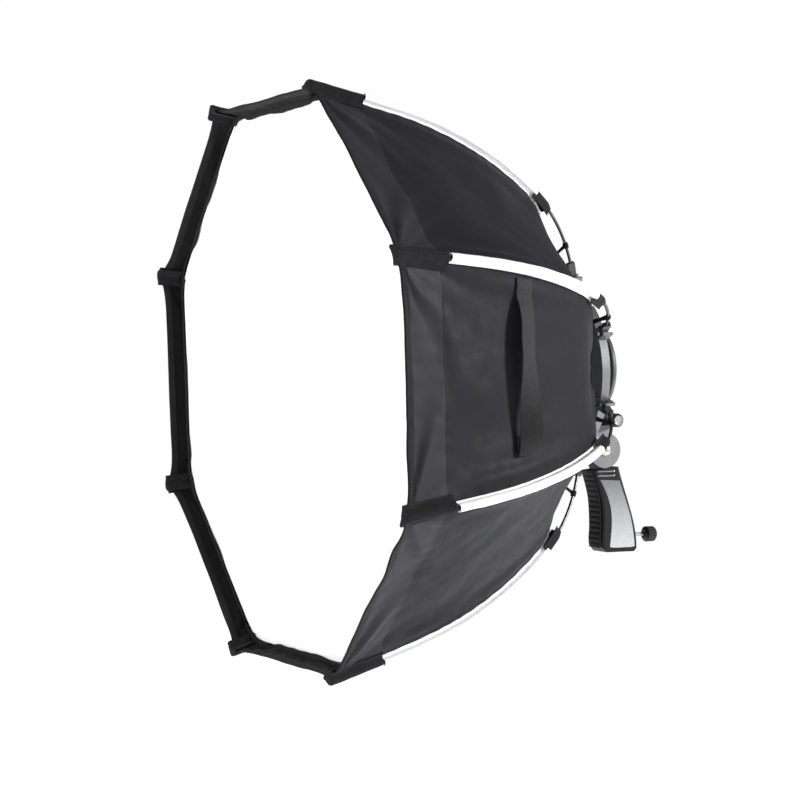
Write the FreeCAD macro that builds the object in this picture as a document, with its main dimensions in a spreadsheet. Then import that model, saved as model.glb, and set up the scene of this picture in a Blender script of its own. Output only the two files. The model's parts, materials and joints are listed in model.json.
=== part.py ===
"""Folding octagonal studio softbox on a tilting pistol grip.

Frame of the whole object, in millimetres: +Z up, the origin at the mouth of the grip's stand socket,
the softbox facing -Y. The head (hub, ribs, fabric) is drawn in a frame of its own, with its origin at
the centre of the front rim, +Y along the softbox axis to the hub, and is then placed on the grip.
"""
import FreeCAD, Part
import math
import os
import Sketcher

from FreeCAD import Placement, Rotation, Vector

SIZES = {
    # softbox bowl and its ribs
    "rib_count": 8,
    "rib_tip_radius": 394.5,
    "rib_tip_depth": 3.0,
    "rib_lean": 14.3,
    "rib_straight": 128.0,
    "rib_front_bend": 579.0,
    "rib_front_turn": 24.3,
    "rib_rear_bend": 264.0,
    "rib_rear_turn": 33.5,
    "rod_radius": 2.0,
    "rod_end_gap": 20.0,
    "sleeve_radius": 6.5,
    "sleeve_bore": 2.25,
    "sleeve_start": 80.0,
    "sleeve_finish": 376.0,
    "fabric_offset": 7.2,
    "fabric_skin": 1.6,
    "seam_gap": 0.4,
    "lip_depth": 31.0,
    "lip_width": 7.0,
    "diffuser_gap": 1.0,
    "diffuser_skin": 1.2,
    "wrap_width": 26.0,
    "wrap_finish": 77.0,
    "tab_width": 17.0,
    "tab_start": 376.6,
    "tab_finish": 412.0,
    "webbing_skin": 1.6,
    # handle strap on the near gore
    "strap_width": 28.0,
    "strap_skin": 2.4,
    "strap_along": 203.0,
    "strap_sewn": 22.0,
    "strap_ramp": 20.0,
    "strap_top": 118.0,
    "strap_bottom": 88.0,
    "strap_rise": 13.0,
    # hub
    "lug_thickness": 6.0,
    "lug_radius": 5.0,
    "pin_radius": 1.8,
    "pin_clearance": 0.05,
    "cheek_thickness": 4.0,
    "cheek_gap": 0.4,
    "ring_radius": 118.0,
    "ring_thickness": 12.0,
    "barrel_radius": 58.0,
    "barrel_bore": 47.0,
    "barrel_front": 424.0,
    "barrel_rear": 483.0,
    "flange_radius": 63.0,
    "flange_thickness": 6.5,
    # neck and tilt joint
    "head_tilt": 2.4,
    "pivot_forward": 19.0,
    "pivot_height": 140.0,
    "pivot_depth": 496.6,
    "pivot_drop": 114.0,
    "fork_radius": 24.5,
    "fork_cheek": 6.5,
    "knuckle_width": 18.0,
    "knuckle_radius": 22.0,
    "side_gap": 0.4,
    "bolt_radius": 4.0,
    "bolt_clearance": 0.05,
    "bolt_head_radius": 8.0,
    "bolt_head_height": 5.0,
    "clamp_knob_radius": 9.5,
    "clamp_knob_length": 15.0,
    "tilt_knob_radius": 17.0,
    "tilt_knob_length": 18.0,
    # grip
    "grip_width": 34.0,
    "pad_skin": 3.0,
    "panel_skin": 1.6,
    "socket_radius": 8.05,
    "socket_depth": 42.0,
    "socket_wall": 2.2,
    "thumb_height": 21.5,
    "thumb_shaft_radius": 2.5,
    "thumb_knob_radius": 10.6,
    "thumb_knob_front": 55.0,
    "thumb_knob_length": 17.0,
}

doc = FreeCAD.newDocument("softbox")
sheet = doc.addObject("Spreadsheet::Sheet", "Sizes")
for row, (alias, value) in enumerate(SIZES.items(), start=1):
    sheet.set("A%d" % row, alias)
    sheet.set("B%d" % row, str(value))
    sheet.setAlias("B%d" % row, alias)
doc.recompute()


def size(alias):
    """The number in the sheet's cell of that name."""
    return float(sheet.get(alias))


X_AXIS = Vector(1, 0, 0)
Y_AXIS = Vector(0, 1, 0)
Z_AXIS = Vector(0, 0, 1)
ALONG_X = Rotation(Y_AXIS, 90)
ALONG_Y = Rotation(X_AXIS, -90)

RIB_COUNT = int(size("rib_count"))
HALF_STEP = 180.0 / RIB_COUNT
HALF_ANGLE = math.radians(HALF_STEP)

# Where the fabric runs behind the rear tabs, as (radius, depth) in a rib's plane.
FABRIC_REAR = [(236.0, 351.2), (222.0, 360.0), (196.0, 376.5), (168.0, 392.5), (142.0, 407.5),
               (122.0, 419.0)]
# Where the fabric line is pinned to the rod between its front bend and the rear tab.
FABRIC_STATIONS = (0.0, 0.2, 0.4, 0.6, 0.8, 0.9, 0.96)

nodes = []


# ---------------------------------------------------------------- placements

def head_placement():
    """Head frame to object frame: the head leans about the tilt pivot."""
    turn = Rotation(X_AXIS, size("head_tilt"))
    pivot_in_head = Vector(0, size("pivot_depth"), -size("pivot_drop"))
    pivot = Vector(0, -size("pivot_forward"), size("pivot_height"))
    return Placement(pivot - turn.multVec(pivot_in_head), turn)


HEAD = head_placement()


def rib_placement(number):
    """Frame of one rib: X outward in the rib's plane, Y along the softbox axis, Z around it."""
    angle = HALF_STEP * (2 * number - 1)
    return HEAD.multiply(Placement(Vector(), Rotation(Y_AXIS, -angle)))


def keep(obj, label, placement):
    """Make an object one of the kept sub-parts."""
    obj.Label = label
    obj.Placement = placement
    nodes.append(obj)
    return obj


# ------------------------------------------------------------ small builders

def primitive(kind, name, placement=None, **bound):
    """A Part primitive whose properties are bound to the sheet."""
    obj = doc.addObject("Part::" + kind, name)
    for prop, expression in bound.items():
        obj.setExpression(prop, expression)
    if placement is not None:
        obj.Placement = placement
    return obj


def rod_between(name, centre, rotation, radius, height):
    """A cylinder whose radius and height are expressions."""
    return primitive("Cylinder", name, Placement(centre, rotation), Radius=radius, Height=height)


def fuse(name, parts):
    joined = doc.addObject("Part::MultiFuse", name)
    joined.Shapes = parts
    joined.Refine = True
    return joined


def cut(name, base, tool):
    carved = doc.addObject("Part::Cut", name)
    carved.Base = base
    carved.Tool = tool
    carved.Refine = True
    return carved


def new_body(name):
    return doc.addObject("PartDesign::Body", name)


def origin_plane(body, role):
    return [f for f in body.Origin.OriginFeatures if f.Role == role][0]


def outline_sketch(body, name, plane, edges, offset=0.0):
    """A closed sketch from a list of curves; neighbours are joined end to end."""
    sketch = body.newObject("Sketcher::SketchObject", name)
    sketch.AttachmentSupport = (origin_plane(body, plane), [""])
    sketch.MapMode = "FlatFace"
    sketch.AttachmentOffset = Placement(Vector(0, 0, offset), Rotation())
    sketch.addGeometry(edges, False)
    return sketch


def polygon(points):
    """Line segments round a closed outline."""
    corners = [Vector(a, b, 0) for a, b in points]
    return [Part.LineSegment(p, q) for p, q in zip(corners, corners[1:] + corners[:1])]


def pad(body, sketch, length, midplane=False, reverse=False):
    feature = body.newObject("PartDesign::Pad", body.Name + "Pad")
    feature.Profile = sketch
    feature.setExpression("Length", length)
    feature.Midplane = midplane
    feature.Reversed = reverse
    return feature


def pocket_through(body, sketch):
    feature = body.newObject("PartDesign::Pocket", sketch.Name + "Pocket")
    feature.Profile = sketch
    feature.Type = 1
    feature.Midplane = True
    return feature


def revolve(body, sketch, axis):
    feature = body.newObject("PartDesign::Revolution", body.Name + "Turned")
    feature.Profile = sketch
    feature.ReferenceAxis = (sketch, [axis])
    feature.Angle = 360.0
    return feature


# ------------------------------------------------------------------ rib line

def rib_point(distance):
    """Radius, depth and lean of the rod's centre line, a distance back from its tip.

    The line runs straight from the tip, then round a gentle bend and a tighter one to the hub.
    """
    lean = math.radians(size("rib_lean"))
    radius = size("rib_tip_radius")
    depth = size("rib_tip_depth")
    step = min(distance, size("rib_straight"))
    radius -= step * math.sin(lean)
    depth += step * math.cos(lean)
    left = distance - step
    for bend, turn in (("rib_front_bend", "rib_front_turn"), ("rib_rear_bend", "rib_rear_turn")):
        bend_radius = size(bend)
        turned = min(left / bend_radius, math.radians(size(turn)))
        radius += bend_radius * (math.cos(lean + turned) - math.cos(lean))
        depth += bend_radius * (math.sin(lean + turned) - math.sin(lean))
        lean += turned
        left -= turned * bend_radius
    return radius, depth, lean


FRONT_BEND_START = size("rib_straight")
REAR_BEND_START = FRONT_BEND_START + size("rib_front_bend") * math.radians(size("rib_front_turn"))
RIB_LENGTH = REAR_BEND_START + size("rib_rear_bend") * math.radians(size("rib_rear_turn"))
HINGE_RADIUS, HINGE_DEPTH, HINGE_LEAN = rib_point(RIB_LENGTH)
ROD_LENGTH = RIB_LENGTH - size("rod_end_gap")


def on_rib(distance, offset=0.0):
    """A point of the rib's plane, moved outward from the centre line by the offset."""
    radius, depth, lean = rib_point(distance)
    return Vector(radius + offset * math.cos(lean), depth + offset * math.sin(lean), 0)


def rib_wire(start, finish):
    """The rod's centre line between two distances, as a line and tangent arcs."""
    stops = [start] + [s for s in (FRONT_BEND_START, REAR_BEND_START) if start < s < finish] + [finish]
    edges = []
    for a, b in zip(stops, stops[1:]):
        if b <= FRONT_BEND_START:
            edges.append(Part.LineSegment(on_rib(a), on_rib(b)).toShape())
        else:
            edges.append(Part.Arc(on_rib(a), on_rib((a + b) / 2), on_rib(b)).toShape())
    return Part.Wire(edges)


def rib_sweep(name, start, finish, radius):
    """A round bar along the rib line, its radius bound to the sheet."""
    spine = doc.addObject("Part::Feature", name + "Spine")
    spine.Shape = rib_wire(start, finish)
    _, _, lean = rib_point(start)
    along = Vector(-math.sin(lean), math.cos(lean), 0)
    section = primitive("Circle", name + "Section",
                        Placement(on_rib(start), Rotation(Z_AXIS, along)), Radius=radius)
    sweep = doc.addObject("Part::Sweep", name)
    sweep.Sections = [section]
    sweep.Spine = (spine, ["Edge%d" % (i + 1) for i in range(len(spine.Shape.Edges))])
    sweep.Solid = True
    return sweep


# ---------------------------------------------------- rib pieces, drawn once

# Length of rod held in the lug, and what webbing clears the rod by at the front wrap and the rear tab.
LUG_GRIP = 6.0
WRAP_ROOM = 0.4
TAB_ROOM = 2.0


def draw_rod():
    return rib_sweep("RodMaster", 0.0, ROD_LENGTH, "Sizes.rod_radius")


def draw_sleeve():
    start, finish = size("sleeve_start"), size("sleeve_finish")
    outside = rib_sweep("SleeveOutside", start, finish, "Sizes.sleeve_radius")
    bore = rib_sweep("SleeveBore", start - 1.0, finish + 1.0, "Sizes.sleeve_bore")
    return cut("SleeveMaster", outside, bore)


def draw_lug():
    """Flat bar with a pin eye at the hub end and a socket for the rod at the other."""
    body = new_body("LugMaster")
    thickness = "Sizes.lug_thickness"
    r = size("lug_radius")
    reach = size("rod_end_gap") + LUG_GRIP
    flank = [Part.LineSegment(Vector(0, r, 0), Vector(reach, r, 0)),
             Part.LineSegment(Vector(reach, r, 0), Vector(reach, -r, 0)),
             Part.LineSegment(Vector(reach, -r, 0), Vector(0, -r, 0)),
             Part.ArcOfCircle(Part.Circle(Vector(0, 0, 0), Z_AXIS, r), math.pi / 2, 3 * math.pi / 2)]
    pad(body, outline_sketch(body, "LugOutline", "XY_Plane", flank), thickness, midplane=True)
    doc.recompute()
    eye_radius = size("pin_radius") + size("pin_clearance")
    eye = outline_sketch(body, "LugEye", "XY_Plane", [Part.Circle(Vector(0, 0, 0), Z_AXIS, eye_radius)])
    eye.addConstraint(Sketcher.Constraint("Radius", 0, eye_radius))
    eye.setExpression("Constraints[0]", "Sizes.pin_radius + Sizes.pin_clearance")
    pocket_through(body, eye)
    doc.recompute()
    rod_end = on_rib(ROD_LENGTH)
    pin = Vector(HINGE_RADIUS, HINGE_DEPTH, 0)
    socket = doc.addObject("Part::Feature", "LugSocket")
    socket.Shape = rib_sweep_shape(ROD_LENGTH - 2 * LUG_GRIP, ROD_LENGTH, size("rod_radius"))
    body.Placement = Placement(pin, Rotation(X_AXIS, rod_end - pin))
    return cut("LugWithSocket", body, socket)


def rib_sweep_shape(start, finish, radius):
    """A plain round bar along the rib line."""
    _, _, lean = rib_point(start)
    along = Vector(-math.sin(lean), math.cos(lean), 0)
    ring = Part.Wire([Part.makeCircle(radius, on_rib(start), along)])
    return rib_wire(start, finish).makePipeShell([ring], True, False)


def channel_shape(start, finish, width, clearance):
    """Webbing folded over the rib: an arch over the rod or sleeve, with a flat wing on each side."""
    skin = size("webbing_skin")
    base = size("sleeve_radius") - 0.3
    inner = clearance
    outer = clearance + skin
    _, _, lean = rib_point(start)
    outward = Vector(math.cos(lean), math.sin(lean), 0)
    origin = on_rib(start)

    def spot(side, lift):
        return origin + Z_AXIS * side + outward * lift

    def arch(reach):
        return Part.Arc(spot(-reach, 0), spot(0, reach), spot(reach, 0)).toShape()

    def line(a, b):
        return Part.LineSegment(spot(*a), spot(*b)).toShape()

    half = width / 2
    path = [line((-half, -base), (-half, -base + skin)), line((-half, -base + skin), (-outer, -base + skin)),
            line((-outer, -base + skin), (-outer, 0)), arch(outer),
            line((outer, 0), (outer, -base + skin)), line((outer, -base + skin), (half, -base + skin)),
            line((half, -base + skin), (half, -base)), line((half, -base), (inner, -base)),
            line((inner, -base), (inner, 0)), arch(inner),
            line((-inner, 0), (-inner, -base)), line((-inner, -base), (-half, -base))]
    profile = Part.Wire(Part.__sortEdges__(path))
    return rib_wire(start, finish).makePipeShell([profile], True, False)


def draw_webbing():
    """The front corner wrap and the rear tab, the two black webbing pieces on a rib."""
    wrap = channel_shape(0.0, size("wrap_finish"), size("wrap_width"), size("rod_radius") + WRAP_ROOM)
    tab = channel_shape(size("tab_start"), size("tab_finish"), size("tab_width"),
                        size("rod_radius") + TAB_ROOM)
    master = doc.addObject("Part::Feature", "WebbingMaster")
    master.Shape = Part.makeCompound([wrap, tab])
    return master


# -------------------------------------------------------------------- fabric

def fabric_profile(offset):
    """Points of the fabric behind its straight front stretch, in a rib's plane.

    It follows the rod to the rear tab, then leaves it and runs under the lugs to the hinge ring.
    """
    bowed = size("tab_start") - FRONT_BEND_START
    points = [on_rib(FRONT_BEND_START + share * bowed, -offset) for share in FABRIC_STATIONS]
    inset = offset - size("fabric_offset")
    for radius, depth in FABRIC_REAR:
        points.append(Vector(radius - inset * 0.5, depth - inset * 0.87, 0))
    return points


def wall_radius(depth, offset):
    """Radius of the fabric's straight front stretch at a depth, in a rib's plane."""
    _, _, lean = rib_point(0.0)
    start = on_rib(0.0, -offset)
    return start.x - (depth - start.y) * math.tan(lean)


def half_gore(sign):
    """Half a gore beside the rib: its section at the gore's middle, run out to the rib's plane."""
    shrink = math.cos(HALF_ANGLE)
    outer, inner = size("fabric_offset"), size("fabric_offset") + size("fabric_skin")
    lip_front = size("lip_depth")
    lip_rear = lip_front + size("fabric_skin")
    lip_edge = wall_radius(lip_front, inner) - size("lip_width")

    def spot(point):
        return Vector(point[0] * shrink, point[1], 0)

    def curve(points):
        line = Part.BSplineCurve()
        line.interpolate([spot((p.x, p.y)) for p in points])
        return line.toShape()

    def line(a, b):
        return Part.LineSegment(spot(a), spot(b)).toShape()

    outside = fabric_profile(outer)
    inside = fabric_profile(inner)
    rim_out, rim_in = (wall_radius(0.0, outer), 0.0), (wall_radius(0.0, inner), 0.0)
    front_out = (outside[0].x, outside[0].y)
    front_in = (inside[0].x, inside[0].y)
    edges = [line(rim_out, front_out), curve(outside),
             line((outside[-1].x, outside[-1].y), (inside[-1].x, inside[-1].y)),
             curve(inside[::-1]),
             line(front_in, (wall_radius(lip_rear, inner), lip_rear)),
             line((wall_radius(lip_rear, inner), lip_rear), (lip_edge, lip_rear)),
             line((lip_edge, lip_rear), (lip_edge, lip_front)),
             line((lip_edge, lip_front), (wall_radius(lip_front, inner), lip_front)),
             line((wall_radius(lip_front, inner), lip_front), rim_in),
             line(rim_in, rim_out)]
    face = Part.Face(Part.Wire(edges))
    reach = size("rib_tip_radius")
    slab = face.extrude(Vector(0, 0, -sign * reach))
    slab.translate(Vector(0, 0, -sign * size("seam_gap") / 2))
    slab.rotate(Vector(), Y_AXIS, -sign * HALF_STEP)
    keep_side = Part.makeBox(2 * reach, 3 * reach, reach)
    keep_side.translate(Vector(-reach / 4, -reach, 0 if sign > 0 else -reach))
    return slab.common(keep_side)


def draw_panel():
    """Fabric on both sides of one rib, sewn together under it."""
    master = doc.addObject("Part::Feature", "PanelMaster")
    master.Shape = half_gore(1).fuse(half_gore(-1)).removeSplitter()
    return master


def draw_ribs():
    masters = {"rib_rod": draw_rod(), "rib_lug": draw_lug(), "rib_sleeve": draw_sleeve(),
               "rib_webbing": draw_webbing(), "canopy_panel": draw_panel()}
    doc.recompute()
    for name, master in masters.items():
        for number in range(1, RIB_COUNT + 1):
            copy = doc.addObject("Part::Feature", "%s_%d" % (name, number))
            copy.Shape = master.Shape
            keep(copy, "%s_%d" % (name, number), rib_placement(number))


def draw_diffuser():
    """Flat octagonal front cloth, held behind the lip."""
    body = new_body("Diffuser")
    front = size("lip_depth") + size("fabric_skin") + size("diffuser_gap")
    edge = wall_radius(front + size("diffuser_skin"), size("fabric_offset") + size("fabric_skin")) - 1.5
    corners = [(edge * math.cos(HALF_ANGLE * (2 * i - 1)), edge * math.sin(HALF_ANGLE * (2 * i - 1)))
               for i in range(1, RIB_COUNT + 1)]
    sketch = outline_sketch(body, "DiffuserOutline", "XZ_Plane", polygon(corners), -front)
    pad(body, sketch, "Sizes.diffuser_skin", reverse=True)
    keep(body, "diffuser", HEAD)


def draw_strap():
    """Carrying strap across the near gore: sewn flat at both ends and standing off between them."""
    along = size("strap_along")
    half, skin = size("strap_width") / 2, size("strap_skin")
    top, bottom, rise = size("strap_top"), -size("strap_bottom"), size("strap_rise")
    sewn, ramp = size("strap_sewn"), size("strap_ramp")
    outside = [(0, top), (skin, top), (skin, top - sewn), (rise + skin, top - sewn - ramp),
               (rise + skin, bottom + sewn + ramp), (skin, bottom + sewn), (skin, bottom), (0, bottom)]
    inside = [(0, bottom + sewn + 1.0), (rise, bottom + sewn + ramp + 1.0),
              (rise, top - sewn - ramp - 1.0), (0, top - sewn - 1.0)]
    corners = [Vector(x, -half, z) for x, z in outside + inside]
    solid = Part.Face(Part.makePolygon(corners + corners[:1])).extrude(Y_AXIS * 2 * half)
    strap = doc.addObject("Part::Feature", "HandleStrap")
    strap.Shape = solid
    _, _, lean = rib_point(along)
    surface = on_rib(along, -size("fabric_offset"))
    foot = Vector(surface.x * math.cos(HALF_ANGLE) + 0.6, surface.y, 0)
    keep(strap, "handle_strap", HEAD.multiply(Placement(foot, Rotation(Z_AXIS, math.degrees(lean)))))


# ----------------------------------------------------------------------- hub

def draw_barrel():
    body = new_body("Barrel")
    bore, wall = size("barrel_bore"), size("barrel_radius")
    front, rear = size("barrel_front"), size("barrel_rear")
    outline = polygon([(bore, front), (wall - 2, front), (wall, front + 2), (wall, rear), (bore, rear)])
    revolve(body, outline_sketch(body, "BarrelSection", "XY_Plane", outline), "V_Axis")
    keep(body, "hub_barrel", HEAD)


def draw_rear_flange():
    body = new_body("RearFlange")
    bore, wall = size("barrel_bore"), size("flange_radius")
    front = size("barrel_rear")
    rear = front + size("flange_thickness")
    outline = polygon([(bore, front), (wall - 1, front), (wall, front + 1), (wall, rear - 2),
                       (wall - 2, rear), (bore + 2, rear), (bore, rear - 2)])
    revolve(body, outline_sketch(body, "FlangeSection", "XY_Plane", outline), "V_Axis")
    keep(body, "rear_flange", HEAD)


def hinge_cheek(name, side, number):
    """One cheek of a rib's clevis, in the head frame."""
    inner = size("lug_thickness") / 2 + size("cheek_gap")
    start = inner if side > 0 else -inner - size("cheek_thickness")
    place = Placement(Vector(), Rotation(Y_AXIS, -HALF_STEP * (2 * number - 1)))
    block = primitive("Box", name, place.multiply(
        Placement(Vector(size("ring_radius") - 6.0, HINGE_DEPTH - 5.0, start), Rotation())),
        Width="Sizes.ring_thickness + 3", Height="Sizes.cheek_thickness")
    block.Length = HINGE_RADIUS + 6.0 - size("ring_radius") + 6.0
    return block


def draw_hinge_ring():
    """Flat ring round the barrel, with a two-cheek clevis for each rib."""
    front = HINGE_DEPTH - 2.0
    disc = rod_between("RingDisc", Vector(0, front, 0), ALONG_Y, "Sizes.ring_radius", "Sizes.ring_thickness")
    hole = rod_between("RingHole", Vector(0, front - 5, 0), ALONG_Y, "Sizes.barrel_radius + %g" % SADDLE_GAP,
                       "Sizes.ring_thickness + 10")
    cheeks = [hinge_cheek("Cheek%d_%s" % (number, "up" if side > 0 else "down"), side, number)
              for number in range(1, RIB_COUNT + 1) for side in (1, -1)]
    body = fuse("RingBlank", [disc] + cheeks)
    holes = [hole]
    for number in range(1, RIB_COUNT + 1):
        place = Placement(Vector(), Rotation(Y_AXIS, -HALF_STEP * (2 * number - 1)))
        drill = rod_between("PinHole%d" % number, Vector(), Rotation(), "Sizes.pin_radius", "30")
        drill.Placement = place.multiply(Placement(Vector(HINGE_RADIUS, HINGE_DEPTH, -15), Rotation()))
        holes.append(drill)
    ring = cut("HingeRing", body, fuse("RingHoles", holes))
    keep(ring, "hinge_ring", HEAD)


def draw_hinge_pins():
    """The eight rib hinge pins, headed at one end."""
    half = size("lug_thickness") / 2 + size("cheek_gap") + size("cheek_thickness")
    pins = []
    for number in range(1, RIB_COUNT + 1):
        place = Placement(Vector(), Rotation(Y_AXIS, -HALF_STEP * (2 * number - 1)))
        shank = rod_between("PinShank%d" % number, Vector(), Rotation(), "Sizes.pin_radius",
                            "Sizes.lug_thickness + 2 * (Sizes.cheek_gap + Sizes.cheek_thickness)")
        shank.Placement = place.multiply(Placement(Vector(HINGE_RADIUS, HINGE_DEPTH, -half), Rotation()))
        head = rod_between("PinHead%d" % number, Vector(), Rotation(), "Sizes.pin_radius + 1.2", "1.2")
        head.Placement = place.multiply(Placement(Vector(HINGE_RADIUS, HINGE_DEPTH, half), Rotation()))
        pins.append(fuse("Pin%d" % number, [shank, head]))
    group = doc.addObject("Part::Compound", "HingePins")
    group.Links = pins
    keep(group, "hinge_pins", HEAD)


# ------------------------------------------------------------- neck and tilt

# Sizes of the fork and neck, measured from the tilt pivot.
WEB_FRONT = 15.0
WEB_DEPTH = 24.0
WEB_TOP = 34.0
BRIDGE_FOOT = 25.0
NECK_WIDTH = 22.0
NOSE_REACH = 14.0
NOSE_RISE = 12.0
POST_DEPTH = 9.0
GUSSET = 9.0
LEDGE_HEIGHT = 13.0
LEDGE_REACH = 35.0
SADDLE_GAP = 0.02
CLAMP_BACK = 12.5
CLAMP_RISE = 6.5
CLAMP_STANDOFF = 5.5


def draw_neck_and_fork():
    """Fork of the tilt joint, and the neck block that carries the hub on it."""
    fork_face = size("knuckle_width") / 2 + size("side_gap")
    outside = fork_face + size("fork_cheek")
    drop, depth = size("pivot_drop"), size("pivot_depth")
    cheeks = []
    for name, start in (("near", fork_face), ("far", -outside)):
        disc = rod_between("ForkDisc_" + name, Vector(start, depth, -drop), ALONG_X,
                           "Sizes.fork_radius", "Sizes.fork_cheek")
        foot = Placement(Vector(start, depth - WEB_FRONT, -drop), Rotation())
        web = primitive("Box", "ForkWeb_" + name, foot, Length="Sizes.fork_cheek")
        web.Width = WEB_DEPTH
        web.Height = WEB_TOP
        cheeks += [disc, web]
    bridge = primitive("Box", "ForkBridge",
                       Placement(Vector(-outside, depth - WEB_FRONT, -drop + BRIDGE_FOOT), Rotation()))
    bridge.Length = 2 * outside
    bridge.Width = WEB_DEPTH
    bridge.Height = WEB_TOP - BRIDGE_FOOT
    blank = fuse("ForkBlank", cheeks + [bridge])
    bore = rod_between("ForkBore", Vector(-outside - 5, depth, -drop), ALONG_X, "Sizes.bolt_radius", "60")
    keep(cut("TiltFork", blank, bore), "tilt_fork", HEAD)

    body = new_body("NeckBlock")
    front = depth - WEB_FRONT
    bottom = -drop + WEB_TOP
    top = -size("barrel_radius") + 10.0
    ledge = bottom + LEDGE_HEIGHT
    nose, heel = front - NOSE_REACH, front + POST_DEPTH
    outline = polygon([(nose, top), (nose, bottom + NOSE_RISE), (front, bottom),
                       (front + LEDGE_REACH, bottom), (front + LEDGE_REACH, ledge),
                       (heel + GUSSET, ledge), (heel, ledge + GUSSET), (heel, top)])
    pad(body, outline_sketch(body, "NeckOutline", "YZ_Plane", outline), str(NECK_WIDTH), midplane=True)
    doc.recompute()
    room = rod_between("NeckSaddle", Vector(0, front - 30, 0), ALONG_Y,
                       "Sizes.barrel_radius + %g" % SADDLE_GAP, "80")
    flange_room = rod_between("NeckFlangeRoom", Vector(0, size("barrel_rear") - 0.4, 0), ALONG_Y,
                              "Sizes.flange_radius + 0.4", "Sizes.flange_thickness + 40")
    knob_hole = rod_between("ClampHole", Vector(-20, depth + CLAMP_BACK, bottom + CLAMP_RISE), ALONG_X,
                            "Sizes.thumb_shaft_radius + 0.05", "60")
    tools = fuse("NeckRoom", [room, flange_room, knob_hole])
    keep(cut("NeckBlockCut", body, tools), "neck_block", HEAD)


def knob_body(name, radius, length, lobes, shank_radius, shank_length):
    """A lobed hand knob on a plain shank, drawn along +X from its shoulder."""
    body = new_body(name)
    r = size(radius)
    length_mm = size(length)
    section = polygon([(0, 0), (0, r * 0.62), (1.5, r * 0.78), (3.0, r), (length_mm - 2.0, r),
                       (length_mm, r - 2.0), (length_mm, 0)])
    revolve(body, outline_sketch(body, name + "Section", "XY_Plane", section), "H_Axis")
    doc.recompute()
    notch = outline_sketch(body, name + "Notch", "YZ_Plane",
                           [Part.Circle(Vector(r * 1.12, 0, 0), Z_AXIS, r * 0.2)], 3.0)
    groove = body.newObject("PartDesign::Pocket", name + "Groove")
    groove.Profile = notch
    groove.Length = length_mm
    groove.Reversed = True
    doc.recompute()
    spread = body.newObject("PartDesign::PolarPattern", name + "Lobes")
    spread.Originals = [groove]
    spread.Axis = (origin_axis(body, "X_Axis"), [""])
    spread.Angle = 360.0
    spread.Occurrences = lobes
    body.Tip = spread
    doc.recompute()
    shank = doc.addObject("Part::Cylinder", name + "Shank")
    shank.Radius = shank_radius
    shank.Height = shank_length + 1.0
    shank.Placement = Placement(Vector(-shank_length, 0, 0), ALONG_X)
    return fuse(name + "WithShank", [body, shank])


def origin_axis(body, role):
    return [f for f in body.Origin.OriginFeatures if f.Role == role][0]


def draw_clamp_knob():
    knob = knob_body("ClampKnob", "clamp_knob_radius", "clamp_knob_length", 12,
                     size("thumb_shaft_radius"), 17.0)
    centre = Vector(NECK_WIDTH / 2 + CLAMP_STANDOFF, size("pivot_depth") + CLAMP_BACK,
                    -size("pivot_drop") + WEB_TOP + CLAMP_RISE)
    keep(knob, "clamp_knob", HEAD.multiply(Placement(centre, Rotation())))


def draw_tilt_knob():
    outside = size("knuckle_width") / 2 + size("side_gap") + size("fork_cheek")
    knob = knob_body("TiltKnob", "tilt_knob_radius", "tilt_knob_length", 6, 7.0, 3.0)
    socket = rod_between("TiltKnobSocket", Vector(-10, 0, 0), ALONG_X,
                         "Sizes.bolt_radius + Sizes.bolt_clearance", "22")
    hollow = cut("TiltKnobHollow", knob, socket)
    centre = Vector(-outside - 3.3, size("pivot_depth"), -size("pivot_drop"))
    keep(hollow, "tilt_lock_knob", HEAD.multiply(Placement(centre, Rotation(Z_AXIS, 180))))


def draw_pivot_bolt():
    """Domed bolt through the tilt joint."""
    body = new_body("PivotBolt")
    outside = size("knuckle_width") / 2 + size("side_gap") + size("fork_cheek")
    shank, head = size("bolt_radius"), size("bolt_head_radius")
    rise = size("bolt_head_height")
    end = -outside - 14.0
    crown = 1.2
    dome = Part.Arc(Vector(outside + 1.5, head, 0), Vector(outside + rise * 0.8, head * 0.66, 0),
                    Vector(outside + rise, crown, 0))
    edges = [Part.LineSegment(Vector(end, 0, 0), Vector(end, shank, 0)),
             Part.LineSegment(Vector(end, shank, 0), Vector(outside, shank, 0)),
             Part.LineSegment(Vector(outside, shank, 0), Vector(outside, head, 0)),
             Part.LineSegment(Vector(outside, head, 0), Vector(outside + 1.5, head, 0)),
             dome,
             Part.LineSegment(Vector(outside + rise, crown, 0), Vector(outside + rise, 0, 0)),
             Part.LineSegment(Vector(outside + rise, 0, 0), Vector(end, 0, 0))]
    revolve(body, outline_sketch(body, "BoltSection", "XY_Plane", edges), "H_Axis")
    centre = Vector(0, size("pivot_depth"), -size("pivot_drop"))
    keep(body, "pivot_bolt", HEAD.multiply(Placement(centre, Rotation())))


# ---------------------------------------------------------------------- grip

# Side outline of the grip, (back, up) from the stand socket's mouth, from the front foot upwards.
GRIP_FRONT = [(-25.5, 6.0), (-26.8, 18.0), (-25.8, 38.0), (-28.2, 72.0), (-35.5, 98.0), (-41.5, 112.0)]
GRIP_BACK = [(3.5, 117.0), (11.5, 92.0), (21.5, 64.0), (31.5, 29.0), (34.0, 6.0)]
PANEL_FRONT = [(-11.5, 7.0), (-9.2, 30.0), (-10.0, 58.0), (-17.0, 80.0), (-28.0, 99.5)]
PANEL_BACK = [(3.6, 98.0), (14.3, 70.0), (21.2, 50.0), (26.8, 25.0), (28.6, 7.0)]
TONGUE_DEPTH = 20.0
TONGUE_LENGTH = 46.0
FOOT_CORNER = 6.0


def flank(points, shift=0.0):
    """A smooth curve through a side's points, moved back by the shift."""
    curve = Part.BSplineCurve()
    curve.interpolate([Vector(a + shift, b, 0) for a, b in points])
    return curve


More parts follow.
